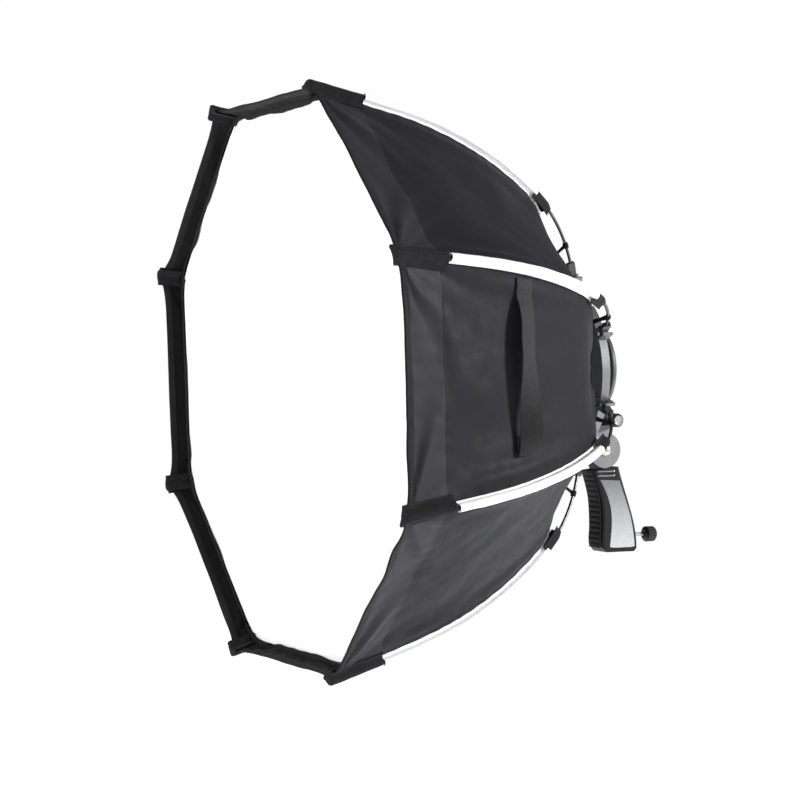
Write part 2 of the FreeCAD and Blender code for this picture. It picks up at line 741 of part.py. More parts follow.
def closed_side(front, back, low):
    """Front flank up, straight across the top, back flank down, straight across the foot."""
    foot_front = Vector(front.StartPoint.x + FOOT_CORNER, low, 0)
    foot_back = Vector(back.EndPoint.x - FOOT_CORNER, low, 0)
    return [front, Part.LineSegment(front.EndPoint, back.StartPoint), back,
            Part.LineSegment(back.EndPoint, foot_back), Part.LineSegment(foot_back, foot_front),
            Part.LineSegment(foot_front, front.StartPoint)]


def pivot_point():
    """Centre of the tilt joint."""
    return Vector(0, -size("pivot_forward"), size("pivot_height"))


def tongue_block(name):
    """The straight tongue under the tilt knuckle."""
    corner = pivot_point() - Vector(size("knuckle_width") / 2, TONGUE_DEPTH / 2, TONGUE_LENGTH)
    block = primitive("Box", name, Placement(corner, Rotation()), Length="Sizes.knuckle_width")
    block.Width = TONGUE_DEPTH
    block.Height = TONGUE_LENGTH
    return block


def shell_room():
    """Everything that the grip's shells make room for."""
    socket = rod_between("SocketRoom", Vector(0, 0, -5), Rotation(),
                         "Sizes.socket_radius + Sizes.socket_wall", "Sizes.socket_depth + 8")
    thumb = rod_between("ThumbRoom", Vector(0, 0, size("thumb_height")), ALONG_Y,
                        "Sizes.thumb_shaft_radius + 0.4", "60")
    fork = rod_between("ForkRoom", pivot_point() - X_AXIS * 40, ALONG_X, "Sizes.fork_radius + 1.2", "80")
    return fuse("ShellRoom", [socket, thumb, fork, tongue_block("TongueRoom")])


def draw_grip_shells():
    """Two halves of the casing, split on the middle plane, with the outer edges rounded over."""
    body = new_body("NearShell")
    outline = closed_side(flank(GRIP_FRONT, size("pad_skin")), flank(GRIP_BACK), 0.0)
    sketch = outline_sketch(body, "ShellOutline", "YZ_Plane", outline, 0.03)
    blank = pad(body, sketch, "Sizes.grip_width / 2 - 0.03")
    doc.recompute()
    outer = [face for face in body.Shape.Faces if abs(face.CenterOfMass.x - size("grip_width") / 2) < 0.01][0]
    rim = ["Edge%d" % i for i, edge in enumerate(body.Shape.Edges, start=1)
           if edge.Length > 80.0 and any(edge.isSame(e) for e in outer.Edges)]
    round_over = body.newObject("PartDesign::Fillet", "ShellRound")
    round_over.Base = (blank, rim)
    round_over.Radius = 4.0
    doc.recompute()
    recess = new_body("PanelRecess")
    recess_line = closed_side(flank(PANEL_FRONT, -0.2), flank(PANEL_BACK, 0.2), 5.8)
    pad(recess, outline_sketch(recess, "RecessOutline", "YZ_Plane", recess_line,
                               size("grip_width") / 2 - size("panel_skin")), "10")
    doc.recompute()
    near = cut("NearShellCut", body, fuse("NearShellRoom", [shell_room(), recess]))
    far = doc.addObject("Part::Mirroring", "FarShell")
    far.Source = near
    far.Normal = X_AXIS
    keep(near, "grip_near_shell", Placement())
    keep(far, "grip_far_shell", Placement())


def draw_side_panels():
    """Thin panels let into the sides of the grip."""
    body = new_body("NearPanel")
    outline = closed_side(flank(PANEL_FRONT), flank(PANEL_BACK), 6.0)
    pad(body, outline_sketch(body, "PanelOutline", "YZ_Plane", outline,
                             size("grip_width") / 2 - size("panel_skin")), "Sizes.panel_skin + 0.3")
    far = doc.addObject("Part::Mirroring", "FarPanel")
    far.Source = body
    far.Normal = X_AXIS
    keep(body, "near_side_panel", Placement())
    keep(far, "far_side_panel", Placement())


def draw_finger_pad():
    """Rubber strip down the front of the grip."""
    body = new_body("FingerPad")
    front, back = flank(GRIP_FRONT), flank(GRIP_FRONT, size("pad_skin"))
    outline = [front, Part.LineSegment(front.EndPoint, back.EndPoint), back,
               Part.LineSegment(back.StartPoint, front.StartPoint)]
    pad(body, outline_sketch(body, "PadOutline", "YZ_Plane", outline), "Sizes.grip_width - 6", midplane=True)
    keep(body, "finger_pad", Placement())


def draw_knuckle():
    """Metal tongue between the shells, with the tilt joint's bearing eye on top."""
    width = size("knuckle_width")
    eye = rod_between("KnuckleEye", pivot_point() - X_AXIS * width / 2, ALONG_X, "Sizes.knuckle_radius",
                      "Sizes.knuckle_width")
    bore = rod_between("KnuckleBore", pivot_point() - X_AXIS * width, ALONG_X,
                       "Sizes.bolt_radius + Sizes.bolt_clearance", "60")
    blank = fuse("KnuckleBlank", [eye, tongue_block("Tongue")])
    keep(cut("Knuckle", blank, bore), "tilt_knuckle", Placement())


def draw_socket():
    """Metal bush that drops over a lighting stand's spigot."""
    wall = rod_between("SocketWall", Vector(), Rotation(), "Sizes.socket_radius + Sizes.socket_wall",
                       "Sizes.socket_depth + 3")
    bore = rod_between("SocketBore", Vector(0, 0, -1), Rotation(), "Sizes.socket_radius",
                       "Sizes.socket_depth + 1")
    thread = rod_between("SocketThread", Vector(0, 0, size("thumb_height")), ALONG_Y,
                         "Sizes.thumb_shaft_radius + 0.05", "30")
    keep(cut("StandSocket", wall, fuse("SocketBores", [bore, thread])), "stand_socket", Placement())


def draw_thumb_screw():
    """Screw that clamps the spigot, with its knurled knob moulded on behind the grip."""
    tip = size("socket_radius") + 0.3
    knob_front = size("thumb_knob_front")
    knob = knob_body("ThumbKnob", "thumb_knob_radius", "thumb_knob_length", 18,
                     size("thumb_shaft_radius"), knob_front - tip)
    keep(knob, "thumb_screw", Placement(Vector(0, knob_front, size("thumb_height")), Rotation(Z_AXIS, 90)))


def draw_shell_screws():
    """Screw and nut that hold the shells together under the tilt joint."""
    heads = []
    for name, side in (("Near", size("grip_width") / 2), ("Far", -size("grip_width") / 2 - 0.6)):
        heads.append(rod_between("ScrewHead" + name, Vector(side, -27.5, 106.0), ALONG_X, "2.4", "0.6"))
    group = doc.addObject("Part::Compound", "ShellScrews")
    group.Links = heads
    keep(group, "shell_screws", Placement())


print("rib length %.3f hinge radius %.4f depth %.4f lean %.3f"
      % (RIB_LENGTH, HINGE_RADIUS, HINGE_DEPTH, math.degrees(HINGE_LEAN)))
draw_ribs()
draw_diffuser()
draw_strap()
draw_barrel()
draw_rear_flange()
draw_hinge_ring()
draw_hinge_pins()
draw_neck_and_fork()
draw_clamp_knob()
draw_tilt_knob()
draw_pivot_bolt()
draw_grip_shells()
draw_side_panels()
draw_finger_pad()
draw_knuckle()
draw_socket()
draw_thumb_screw()
draw_shell_screws()
doc.recompute()

os.makedirs("parts", exist_ok=True)
for obj in doc.Objects:
    if "Invalid" in obj.State or "Error" in obj.State:
        raise SystemExit("%s (%s): %s" % (obj.Name, obj.Label, obj.State))
for obj in nodes:
    if obj.Shape.isNull() or not obj.Shape.isValid():
        raise SystemExit("%s has no valid shape" % obj.Label)
    print("%-20s solids %d volume %.1f cm3" % (obj.Label, len(obj.Shape.Solids), obj.Shape.Volume / 1000))
    obj.Shape.exportStep("parts/%s.step" % obj.Label)
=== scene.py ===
"""Looks of the folding octagonal softbox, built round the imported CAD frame, in metres.

Three frames are used. The head frame has its origin at the centre of the front rim and its Y axis along
the softbox axis, towards the hub. A rib frame is the head frame turned so that X runs out along that rib.
A panel frame is the head frame turned so that X runs out through the middle of one gore.
Along a gore, "along" is the distance behind the front rim and "across" runs from -1 at one rib to 1 at
the next.
"""
import json
import math

import bpy
import numpy as np
from mathutils import Matrix, Vector


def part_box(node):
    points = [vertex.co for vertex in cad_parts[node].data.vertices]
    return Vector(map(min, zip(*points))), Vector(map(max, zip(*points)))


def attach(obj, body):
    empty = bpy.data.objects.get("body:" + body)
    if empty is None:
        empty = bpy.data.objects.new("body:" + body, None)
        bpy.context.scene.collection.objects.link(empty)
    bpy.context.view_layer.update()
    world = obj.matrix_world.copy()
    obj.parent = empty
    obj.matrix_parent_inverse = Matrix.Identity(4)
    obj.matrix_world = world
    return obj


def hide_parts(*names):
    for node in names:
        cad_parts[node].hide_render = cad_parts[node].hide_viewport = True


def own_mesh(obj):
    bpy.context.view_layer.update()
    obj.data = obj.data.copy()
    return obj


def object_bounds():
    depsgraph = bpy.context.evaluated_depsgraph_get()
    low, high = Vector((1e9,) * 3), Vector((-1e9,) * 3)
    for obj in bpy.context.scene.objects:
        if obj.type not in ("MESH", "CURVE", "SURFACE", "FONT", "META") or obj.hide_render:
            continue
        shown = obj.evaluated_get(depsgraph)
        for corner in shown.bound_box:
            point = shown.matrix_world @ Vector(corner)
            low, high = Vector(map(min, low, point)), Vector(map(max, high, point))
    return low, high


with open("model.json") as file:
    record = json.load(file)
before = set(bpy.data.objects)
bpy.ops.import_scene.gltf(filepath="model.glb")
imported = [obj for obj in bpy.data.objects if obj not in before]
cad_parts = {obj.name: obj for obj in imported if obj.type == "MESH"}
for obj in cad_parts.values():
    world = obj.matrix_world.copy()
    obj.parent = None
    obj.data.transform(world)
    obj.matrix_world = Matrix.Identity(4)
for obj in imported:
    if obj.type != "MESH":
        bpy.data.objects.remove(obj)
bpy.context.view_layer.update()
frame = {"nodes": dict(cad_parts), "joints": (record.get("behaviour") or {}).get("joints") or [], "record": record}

MM = 0.001
RIB_NUMBERS = range(1, 9)
HALF_ANGLE = math.pi / 8
JOINTS = {joint["name"]: joint for joint in frame["joints"]}

# ------------------------------------------------------------------ sizes

# The rib's centre line: straight from the tip, then a gentle bend and a tighter one.
TIP_RADIUS, TIP_DEPTH = 394.5 * MM, 3.0 * MM
TIP_LEAN = math.radians(14.3)
STRAIGHT_LENGTH = 128.0 * MM
BENDS = ((579.0 * MM, math.radians(24.3)), (264.0 * MM, math.radians(33.5)))
HINGE_DEPTH = 431.7646 * MM

# The gores and what is sewn to them.
FABRIC_DROP = 7.2 * MM
CLOTH = 1.1 * MM
SLEEVE_START, SLEEVE_END, SLEEVE_RADIUS = 79.0 * MM, 378.0 * MM, 5.5 * MM
LEAVES_ROD = 366.6 * MM
REAR_LINE = [(236.0, 351.2), (222.0, 360.0), (196.0, 376.5), (168.0, 392.5), (142.0, 407.5), (122.0, 419.0)]
BAND_SEAM = 70.0 * MM
RIM_SETBACK, RIM_BOW = 2.0 * MM, 10.0 * MM
BOW_REACH = 45.0 * MM
GORE_SAG = 7.0 * MM
BINDING_WIDTH = 11.0 * MM
LIP_DEPTH, LIP_WIDTH = 31.0 * MM, 7.0 * MM
HEM_WIDTH, TAPE_THICKNESS, LIP_THICKNESS = 9.0 * MM, 0.9 * MM, 1.2 * MM
GORE_ROWS, STRIP_COLUMNS, WING_COLUMNS = 118, 11, 27
INNER_BLACK = 35.0 * MM
WRAP_LENGTH, WRAP_WIDTH = 77.0 * MM, 27.0 * MM
TAB_START, TAB_END, TAB_WIDTH = 373.0 * MM, 412.0 * MM, 18.0 * MM
DIFFUSER_DEPTH = 33.9 * MM
STRAP_ALONG, STRAP_WIDTH = 203.0 * MM, 28.0 * MM
CLIP_DISTANCE, CLIP_RADIUS = 474.0 * MM, 3.5 * MM
FLANGE_START, FLANGE_END, PIPING_END = 70.0 * MM, 384.0 * MM, 408.0 * MM
FLANGE_HALF_WIDTH, PIPING_RADIUS = 4.4 * MM, 1.5 * MM
PAD_DEPTH, RIDGE_PITCH, RIDGE_DEPTH = 15.7 * MM, 7.2 * MM, 1.1 * MM
KNOB_SHOULDER, CAP_RADIUS = 54.5 * MM, 6.6 * MM
BAR_HEIGHTS, BAR_FRONT, BAR_REAR, BAR_HALF_WIDTH = (111.0 * MM, 105.0 * MM), -32.0 * MM, -4.0 * MM, 1.1 * MM

# Flat sizes that the sewn pieces are cut to: width and length.
SLEEVE_CUT = (2 * math.pi * 5.6 * MM, SLEEVE_END - SLEEVE_START)
PIPING_CUT = (10.5 * MM, PIPING_END - FLANGE_START)
WRAP_CUT = (36.0 * MM, 112.0 * MM)
TAB_CUT = (34.0 * MM, 40.0 * MM)

FORWARD = np.array([0.0, -1.0, 0.0])
# Material numbers of a gore's mesh, in the order that it is given them.
OUTER_CLOTH, SILVER, TAPE, INNER_BORDER = range(4)


# ------------------------------------------------------------------ frames

def head_frame():
    """Head frame to row frame, from the rib hinges and the hub's bore."""
    hinges = np.array([JOINTS["rib_fold_%d" % n]["pos_m"] for n in RIB_NUMBERS])
    hub = [m for m in frame["record"]["mounts"] if m["name"] == "hub_bore"][0]
    along = np.array(hub["axis"], float)
    side = np.array([1.0, 0.0, 0.0])
    matrix = np.eye(4)
    matrix[:3, 0] = side
    matrix[:3, 1] = along
    matrix[:3, 2] = np.cross(side, along)
    matrix[:3, 3] = hinges.mean(0) - HINGE_DEPTH * along
    return matrix, float(np.linalg.norm(hinges[0] - hinges.mean(0)))


HEAD, HINGE_RADIUS = head_frame()


def turned(angle):
    """The three axes, in the head frame, of the frame turned about the softbox axis."""
    return (np.array([math.cos(angle), 0.0, math.sin(angle)]), np.array([0.0, 1.0, 0.0]),
            np.array([-math.sin(angle), 0.0, math.cos(angle)]))


def rib_axes(number):
    return turned(HALF_ANGLE * (2 * number - 1))


def panel_axes(number):
    return turned(2 * HALF_ANGLE * number)


def combine(axes, radial, along, sideways):
    """Points from their three coordinates in a turned frame."""
    parts = np.broadcast_arrays(radial, along, sideways)
    return sum(part[..., None] * axis for part, axis in zip(parts, axes))


def to_row(points):
    return points @ HEAD[:3, :3].T + HEAD[:3, 3]


def from_row(points):
    inverse = np.linalg.inv(HEAD)
    return points @ inverse[:3, :3].T + inverse[:3, 3]


def as_grids(*parts):
    """Numbers or arrays as arrays of one shape."""
    return np.broadcast_arrays(*(np.asarray(part, float) for part in parts))


def grid(*parts):
    """Points or UVs from their coordinates."""
    return np.stack(np.broadcast_arrays(*parts), -1)


def spread(half_width, count):
    """Places across a strip, as one row."""
    return np.linspace(-1.0, 1.0, count)[None, :] * half_width


def ring_angles(count):
    """Angles once round a tube, as one row."""
    return np.linspace(0.0, 2 * np.pi, count + 1)[None, :-1]


def along_line(points):
    """Distance of each point of a line from its start."""
    return np.concatenate([[0.0], np.cumsum(np.linalg.norm(np.diff(points, axis=0), axis=1))])


# -------------------------------------------------------- lines of the head

def rib_point(distance):
    """Radius, depth and lean of the rod's centre line at distances back from its tip."""
    distance = np.asarray(distance, float)
    lean = np.full(distance.shape, TIP_LEAN)
    step = np.minimum(distance, STRAIGHT_LENGTH)
    radius = TIP_RADIUS - step * math.sin(TIP_LEAN)
    depth = TIP_DEPTH + step * math.cos(TIP_LEAN)
    left = distance - step
    for bend, turn in BENDS:
        turned_by = np.clip(left / bend, 0.0, turn)
        radius = radius + bend * (np.cos(lean + turned_by) - np.cos(lean))
        depth = depth + bend * (np.sin(lean + turned_by) - np.sin(lean))
        lean = lean + turned_by
        left = left - turned_by * bend
    return radius, depth, lean


def smooth_through(points, count):
    """A smooth curve through points, sampled evenly between them."""
    points = np.array(points, float)
    ends = np.vstack([2 * points[0] - points[1], points, 2 * points[-1] - points[-2]])
    at = np.linspace(0, len(points) - 1, count)
    index = np.clip(np.floor(at).astype(int), 0, len(points) - 2)
    t = (at - index)[:, None]
    p0, p1, p2, p3 = (ends[index + k] for k in range(4))
    return 0.5 * (2 * p1 + (p2 - p0) * t + (2 * p0 - 5 * p1 + 4 * p2 - p3) * t ** 2
                  + (3 * p1 - p0 - 3 * p2 + p3) * t ** 3)


def fabric_corner_line():
    """Radius, depth and length of the sewn corner between two gores, from the rim to the rear hem."""
    radius, depth, lean = rib_point(np.linspace(0.0, LEAVES_ROD, 90))
    under = np.stack([radius - FABRIC_DROP * np.cos(lean), depth - FABRIC_DROP * np.sin(lean)], 1)
    slope = math.tan(TIP_LEAN)
    rim = [under[0, 0] + under[0, 1] * slope, 0.0]
    tail = smooth_through(np.vstack([under[-1:], np.array(REAR_LINE) * MM]), 60)
    line = np.vstack([rim, under, tail[1:]])
    length = along_line(line)
    even = np.linspace(0.0, length[-1], 600)
    line = np.stack([np.interp(even, length, line[:, k]) for k in (0, 1)], 1)
    return even, line


LINE_LENGTHS, LINE = fabric_corner_line()
GORE_LENGTH = LINE_LENGTHS[-1]
LINE_SLOPES = np.gradient(LINE, LINE_LENGTHS, axis=0)


def corner(along):
    """Radius, depth and their slopes on the sewn corner."""
    return ([np.interp(along, LINE_LENGTHS, LINE[:, k]) for k in (0, 1)]
            + [np.interp(along, LINE_LENGTHS, LINE_SLOPES[:, k]) for k in (0, 1)])


# ------------------------------------------------------------------- relief

LATTICE = np.random.default_rng(7).random((64, 64))


def value_noise(x, y, shift=0):
    """Smooth noise from -1 to 1 with features one unit wide."""
    x, y = x + 17.3 * shift, y + 9.1 * shift
    column, row = np.floor(x).astype(int), np.floor(y).astype(int)
    fx, fy = x - column, y - row
    fx, fy = fx * fx * (3 - 2 * fx), fy * fy * (3 - 2 * fy)
    near = LATTICE[column % 64, row % 64] * (1 - fx) + LATTICE[(column + 1) % 64, row % 64] * fx
    far = LATTICE[column % 64, (row + 1) % 64] * (1 - fx) + LATTICE[(column + 1) % 64, (row + 1) % 64] * fx
    return 2 * (near * (1 - fy) + far * fy) - 1


def layered_noise(x, y, shift=0):
    return sum(value_noise(x * 2 ** k, y * 2 ** k, shift + 3 * k) * 0.5 ** k for k in range(3))


def smooth_step(x, low, high):
    t = np.clip((x - low) / (high - low), 0.0, 1.0)
    return t * t * (3 - 2 * t)


def bump(x, centre, width):
    return np.exp(-((x - centre) / width) ** 2)


# Folds that fan out from a rim corner: height, folds to a radian, share of the phase, and waver.
FAN_FOLDS = ((4.8 * MM, 6.5, 1.0, 1.6), (2.3 * MM, 15.0, 2.0, 2.5))


def puckers(run, pitch, waver, patch, row, shift):
    """Uneven waves along a seam."""
    return np.cos(2 * np.pi * run / pitch + waver * value_noise(run / patch, row, shift))


def gore_relief(number, across, along):
    """How far the cloth stands proud of the flat gore: sag, tension folds and seam puckers."""
    half_chord = corner(along)[0] * math.sin(HALF_ANGLE)
    side = across * half_chord
    from_rib = np.maximum((1 - np.abs(across)) * half_chord, 0.0)
    share = along / GORE_LENGTH
    open_middle = 1 - across ** 2
    relief = -GORE_SAG * open_middle * np.sin(np.pi * np.clip(share * 0.9 + 0.02, 0, 1)) ** 0.7
    # slow unevenness of the stretched cloth
    soft = np.sqrt(np.maximum(open_middle, 0.0))
    relief = relief + 2.2 * MM * soft * layered_noise(side / 0.085, along / 0.12, number)
    # broad folds that fan out from the two rim corners
    for sign, phase in ((1.0, 1.0), (-1.0, 2.3)):
        gap = (1 - sign * across) * half_chord
        reach = np.hypot(gap, along + 4 * MM)
        turn = np.arctan2(along + 4 * MM, gap + 1 * MM)
        wobble = value_noise(turn * 2.2, reach / 0.08 + phase, number + 8)
        swell = smooth_step(reach, 8 * MM, 60 * MM) * np.exp(-reach / 0.12)
        swell = swell * soft * smooth_step(sign * across, -0.4, 0.5)
        for height, folds, phase_share, waver in FAN_FOLDS:
            relief = relief + height * np.cos(turn * folds + phase_share * phase + waver * wobble) * swell
    # a long fold beside each rib, where the sleeve pulls on the cloth
    sign = np.where(across > 0, 1.0, 2.3)
    strength = 0.6 + 0.5 * value_noise(along / 0.09, sign + number, 6)
    beside = bump(from_rib, 21 * MM, 8 * MM) - 0.6 * bump(from_rib, 36 * MM, 10 * MM)
    relief = relief + 2.5 * MM * strength * beside * smooth_step(along, 70 * MM, 130 * MM)
    # puckers along the band seam, and the doubled cloth in front of it
    waves = puckers(side, 24 * MM, 2.6, 0.05, number, 2)
    relief = relief + 0.28 * MM * waves * bump(along, BAND_SEAM, 12 * MM) * soft
    relief = relief + 0.45 * MM * (1 - smooth_step(along, BAND_SEAM - 1 * MM, BAND_SEAM + 3 * MM)) * soft
    if number == 0:
        overlap = (1 - smooth_step(side, -43 * MM, -41 * MM)) * (1 - smooth_step(along, 58 * MM, 69 * MM))
        relief = relief + 0.7 * MM * overlap * soft
    # puckers along the rim binding
    waves = puckers(side, 31 * MM, 3, 0.07, number, 9)
    relief = relief + 0.35 * MM * waves * bump(along, 15 * MM, 12 * MM) * soft
    # puckers where the gore is sewn under each rib sleeve
    near_seam = np.exp(-from_rib / (10 * MM)) * (1 - np.exp(-from_rib / (3 * MM)))
    relief = relief + 0.5 * MM * puckers(along, 26 * MM, 4, 0.06, sign + number, 4) * near_seam
    # gathers towards the hub
    gather = np.cos(across * 7.5 + 2.5 * value_noise(across * 2, share * 3, number + 21))
    return relief + 0.5 * MM * gather * soft * smooth_step(share, 0.88, 1.0)


def rim_bow(across):
    """How far the rim lies behind the rib tips; the binding is pulled back between them."""
    return RIM_SETBACK + RIM_BOW * (1 - across ** 10)


def gore_surface(number, across, along):
    """Points on the outer face of a gore, in the head frame."""
    across, along = as_grids(across, along)
    radius, depth, radius_slope, depth_slope = corner(along)
    radial = radius * math.cos(HALF_ANGLE)
    sideways = across * radius * math.sin(HALF_ANGLE)
    slope = radius_slope * math.cos(HALF_ANGLE)
    long = np.hypot(slope, depth_slope)
    proud = gore_relief(number, across, along)
    bow = rim_bow(across) * np.exp(-along / BOW_REACH)
    return combine(panel_axes(number), radial + proud * depth_slope / long,
                   depth + bow - proud * slope / long, sideways)


SMALL_ACROSS, SMALL_STEP = 0.004, 0.6 * MM


def unit(vectors):
    return vectors / np.maximum(np.linalg.norm(vectors, axis=-1, keepdims=True), 1e-12)


def facing(surface, across, step, outward):
    """Unit normals of a surface by differences, turned to the same side as outward."""
    wide = surface(across + SMALL_ACROSS, step) - surface(across - SMALL_ACROSS, step)
    tall = surface(across, step + SMALL_STEP) - surface(across, step - SMALL_STEP)
    normal = unit(np.cross(wide, tall))
    return normal * np.sign((normal * outward).sum(-1, keepdims=True))


def gore_outward(number, along):
    _, _, radius_slope, depth_slope = corner(along)
    slope = radius_slope * math.cos(HALF_ANGLE)
    return combine(panel_axes(number), depth_slope, -slope, np.zeros_like(slope))


# ------------------------------------------------------------- mesh builder

def add_object(name, data):
    """A new object, in the scene."""
    made = bpy.data.objects.new(name, data)
    bpy.context.scene.collection.objects.link(made)
    return made


class Skin:
    """Quads gathered with their UVs, normals and material numbers before one mesh is made."""

    def __init__(self):
        self.points, self.faces, self.uvs, self.normals, self.slots = [], [], [], [], []
        self.count = 0

    def _add(self, faces, uvs, normals, slot):
        self.faces.append(faces)
        self.uvs.append(uvs)
        self.normals.append(normals)
        self.slots.append(np.broadcast_to(slot, len(faces)))

    def slab(self, top, under, normal, uv, slots=(0, 0, 0), wrap=False):
        """A closed sheet between two grids of points. slots are for its top, underside and edges."""
        rows, columns = top.shape[:2]
        flat = np.concatenate([top.reshape(-1, 3), under.reshape(-1, 3)])
        index = np.arange(rows * columns).reshape(rows, columns)
        if wrap:
            index = np.concatenate([index, index[:, :1]], 1)
        quads = np.stack([index[:-1, :-1], index[:-1, 1:], index[1:, 1:], index[1:, :-1]], -1).reshape(-1, 4)
        middle = quads[len(quads) // 2]
        corners = flat[middle]
        turn = np.cross(corners[1] - corners[0], corners[3] - corners[0])
        around_uv = uv.reshape(-1, 2)
        around_normal = normal.reshape(-1, 3)
        if (turn * around_normal[middle[0]]).sum() < 0:
            quads = quads[:, ::-1]
        first = self.count
        self._add(quads + first, around_uv[quads], around_normal[quads], slots[0])
        below = quads[:, ::-1]
        under_slots = slots[1]
        if np.ndim(under_slots):
            under_slots = np.repeat(under_slots, len(quads) // (rows - 1))
        self._add(below + first + rows * columns, around_uv[below], -around_normal[below], under_slots)
        edges = np.concatenate([quads[:, [k, (k + 1) % 4]] for k in range(4)])
        key = np.sort(edges, 1)
        _, where, uses = np.unique(key, axis=0, return_index=True, return_counts=True)
        rim = edges[where[uses == 1]]
        walls = np.stack([rim[:, 1], rim[:, 0], rim[:, 0] + rows * columns, rim[:, 1] + rows * columns], 1)
        corners = flat[walls]
        out = unit(np.cross(corners[:, 1] - corners[:, 0], corners[:, 3] - corners[:, 0]))
        wall_uv = around_uv[walls % (rows * columns)]
        self._add(walls + first, wall_uv, np.repeat(out[:, None, :], 4, 1), slots[2])
        self.points.append(flat)
        self.count += len(flat)

    def build(self, name, materials, exact_normals=False, smooth=55.0):
        points = to_row(np.concatenate(self.points))
        faces = np.concatenate(self.faces)
        mesh = bpy.data.meshes.new(name)
        mesh.vertices.add(len(points))
        mesh.vertices.foreach_set("co", points.astype(np.float32).ravel())
        mesh.loops.add(faces.size)
        mesh.loops.foreach_set("vertex_index", faces.astype(np.int32).ravel())
        mesh.polygons.add(len(faces))
        mesh.polygons.foreach_set("loop_start", np.arange(0, faces.size, 4, dtype=np.int32))
        mesh.polygons.foreach_set("material_index", np.concatenate(self.slots).astype(np.int32))
        layer = mesh.uv_layers.new(name="cloth")
        layer.data.foreach_set("uv", np.concatenate(self.uvs).astype(np.float32).ravel())
        mesh.update(calc_edges=True)
        mesh.validate()
        mesh.polygons.foreach_set("use_smooth", np.ones(len(mesh.polygons), bool))
        if exact_normals:
            normals = np.concatenate(self.normals).reshape(-1, 3) @ HEAD[:3, :3].T
            mesh.normals_split_custom_set(normals.astype(np.float32).tolist())
        else:
            mesh.set_sharp_from_angle(angle=math.radians(smooth))
        for material in materials:
            mesh.materials.append(material)
        return add_object(name, mesh)


def grid_normals(top, wrap=False):
    """Unit normals of a grid by differences between neighbours."""
    wide = np.roll(top, -1, 1) - np.roll(top, 1, 1) if wrap else np.gradient(top, axis=1)
    return unit(np.cross(wide, np.gradient(top, axis=0)))


def side_normals(top, reference, wrap=False, rows=None):
    """Unit normals of a grid, turned to the side that reference points to in its first rows."""
    normal = grid_normals(top, wrap)
    return -normal if (normal * reference)[:rows].sum() < 0 else normal


def thin_slab(skin, top, uv, thickness, reference, wrap=False, rows=None):
    """Adds a sheet under a grid of points. reference points out of its top side."""
    normal = side_normals(top, reference, wrap, rows)
    skin.slab(top, top - normal * thickness, normal, uv, wrap=wrap)


def thin_piece(name, material, *sheet, **ways):
    """A piece that is one thin sheet."""
    skin = Skin()
    thin_slab(skin, *sheet, **ways)
    return skin.build(name, [material])


def fit(piece, body, slot, *stands_for):
    """Says which body a piece moves with and which CAD nodes it stands for; slot is not used."""
    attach(piece, body)
    for node in stands_for:
        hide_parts(node)


def pattern_area(obj):
    """Area of a sheet's flat pattern: its UVs are metres on the cut cloth, once for each of its two faces."""
    layer = obj.data.uv_layers.active.data
    flat = np.empty(len(layer) * 2)
    layer.foreach_get("uv", flat)
    flat = flat.reshape(-1, 2)
    total = 0.0
    for face in obj.data.polygons:
        x, y = flat[list(face.loop_indices)].T
        total += abs(np.dot(x, np.roll(y, -1)) - np.dot(y, np.roll(x, -1))) / 2
    return total / 2


# ---------------------------------------------------------------- materials

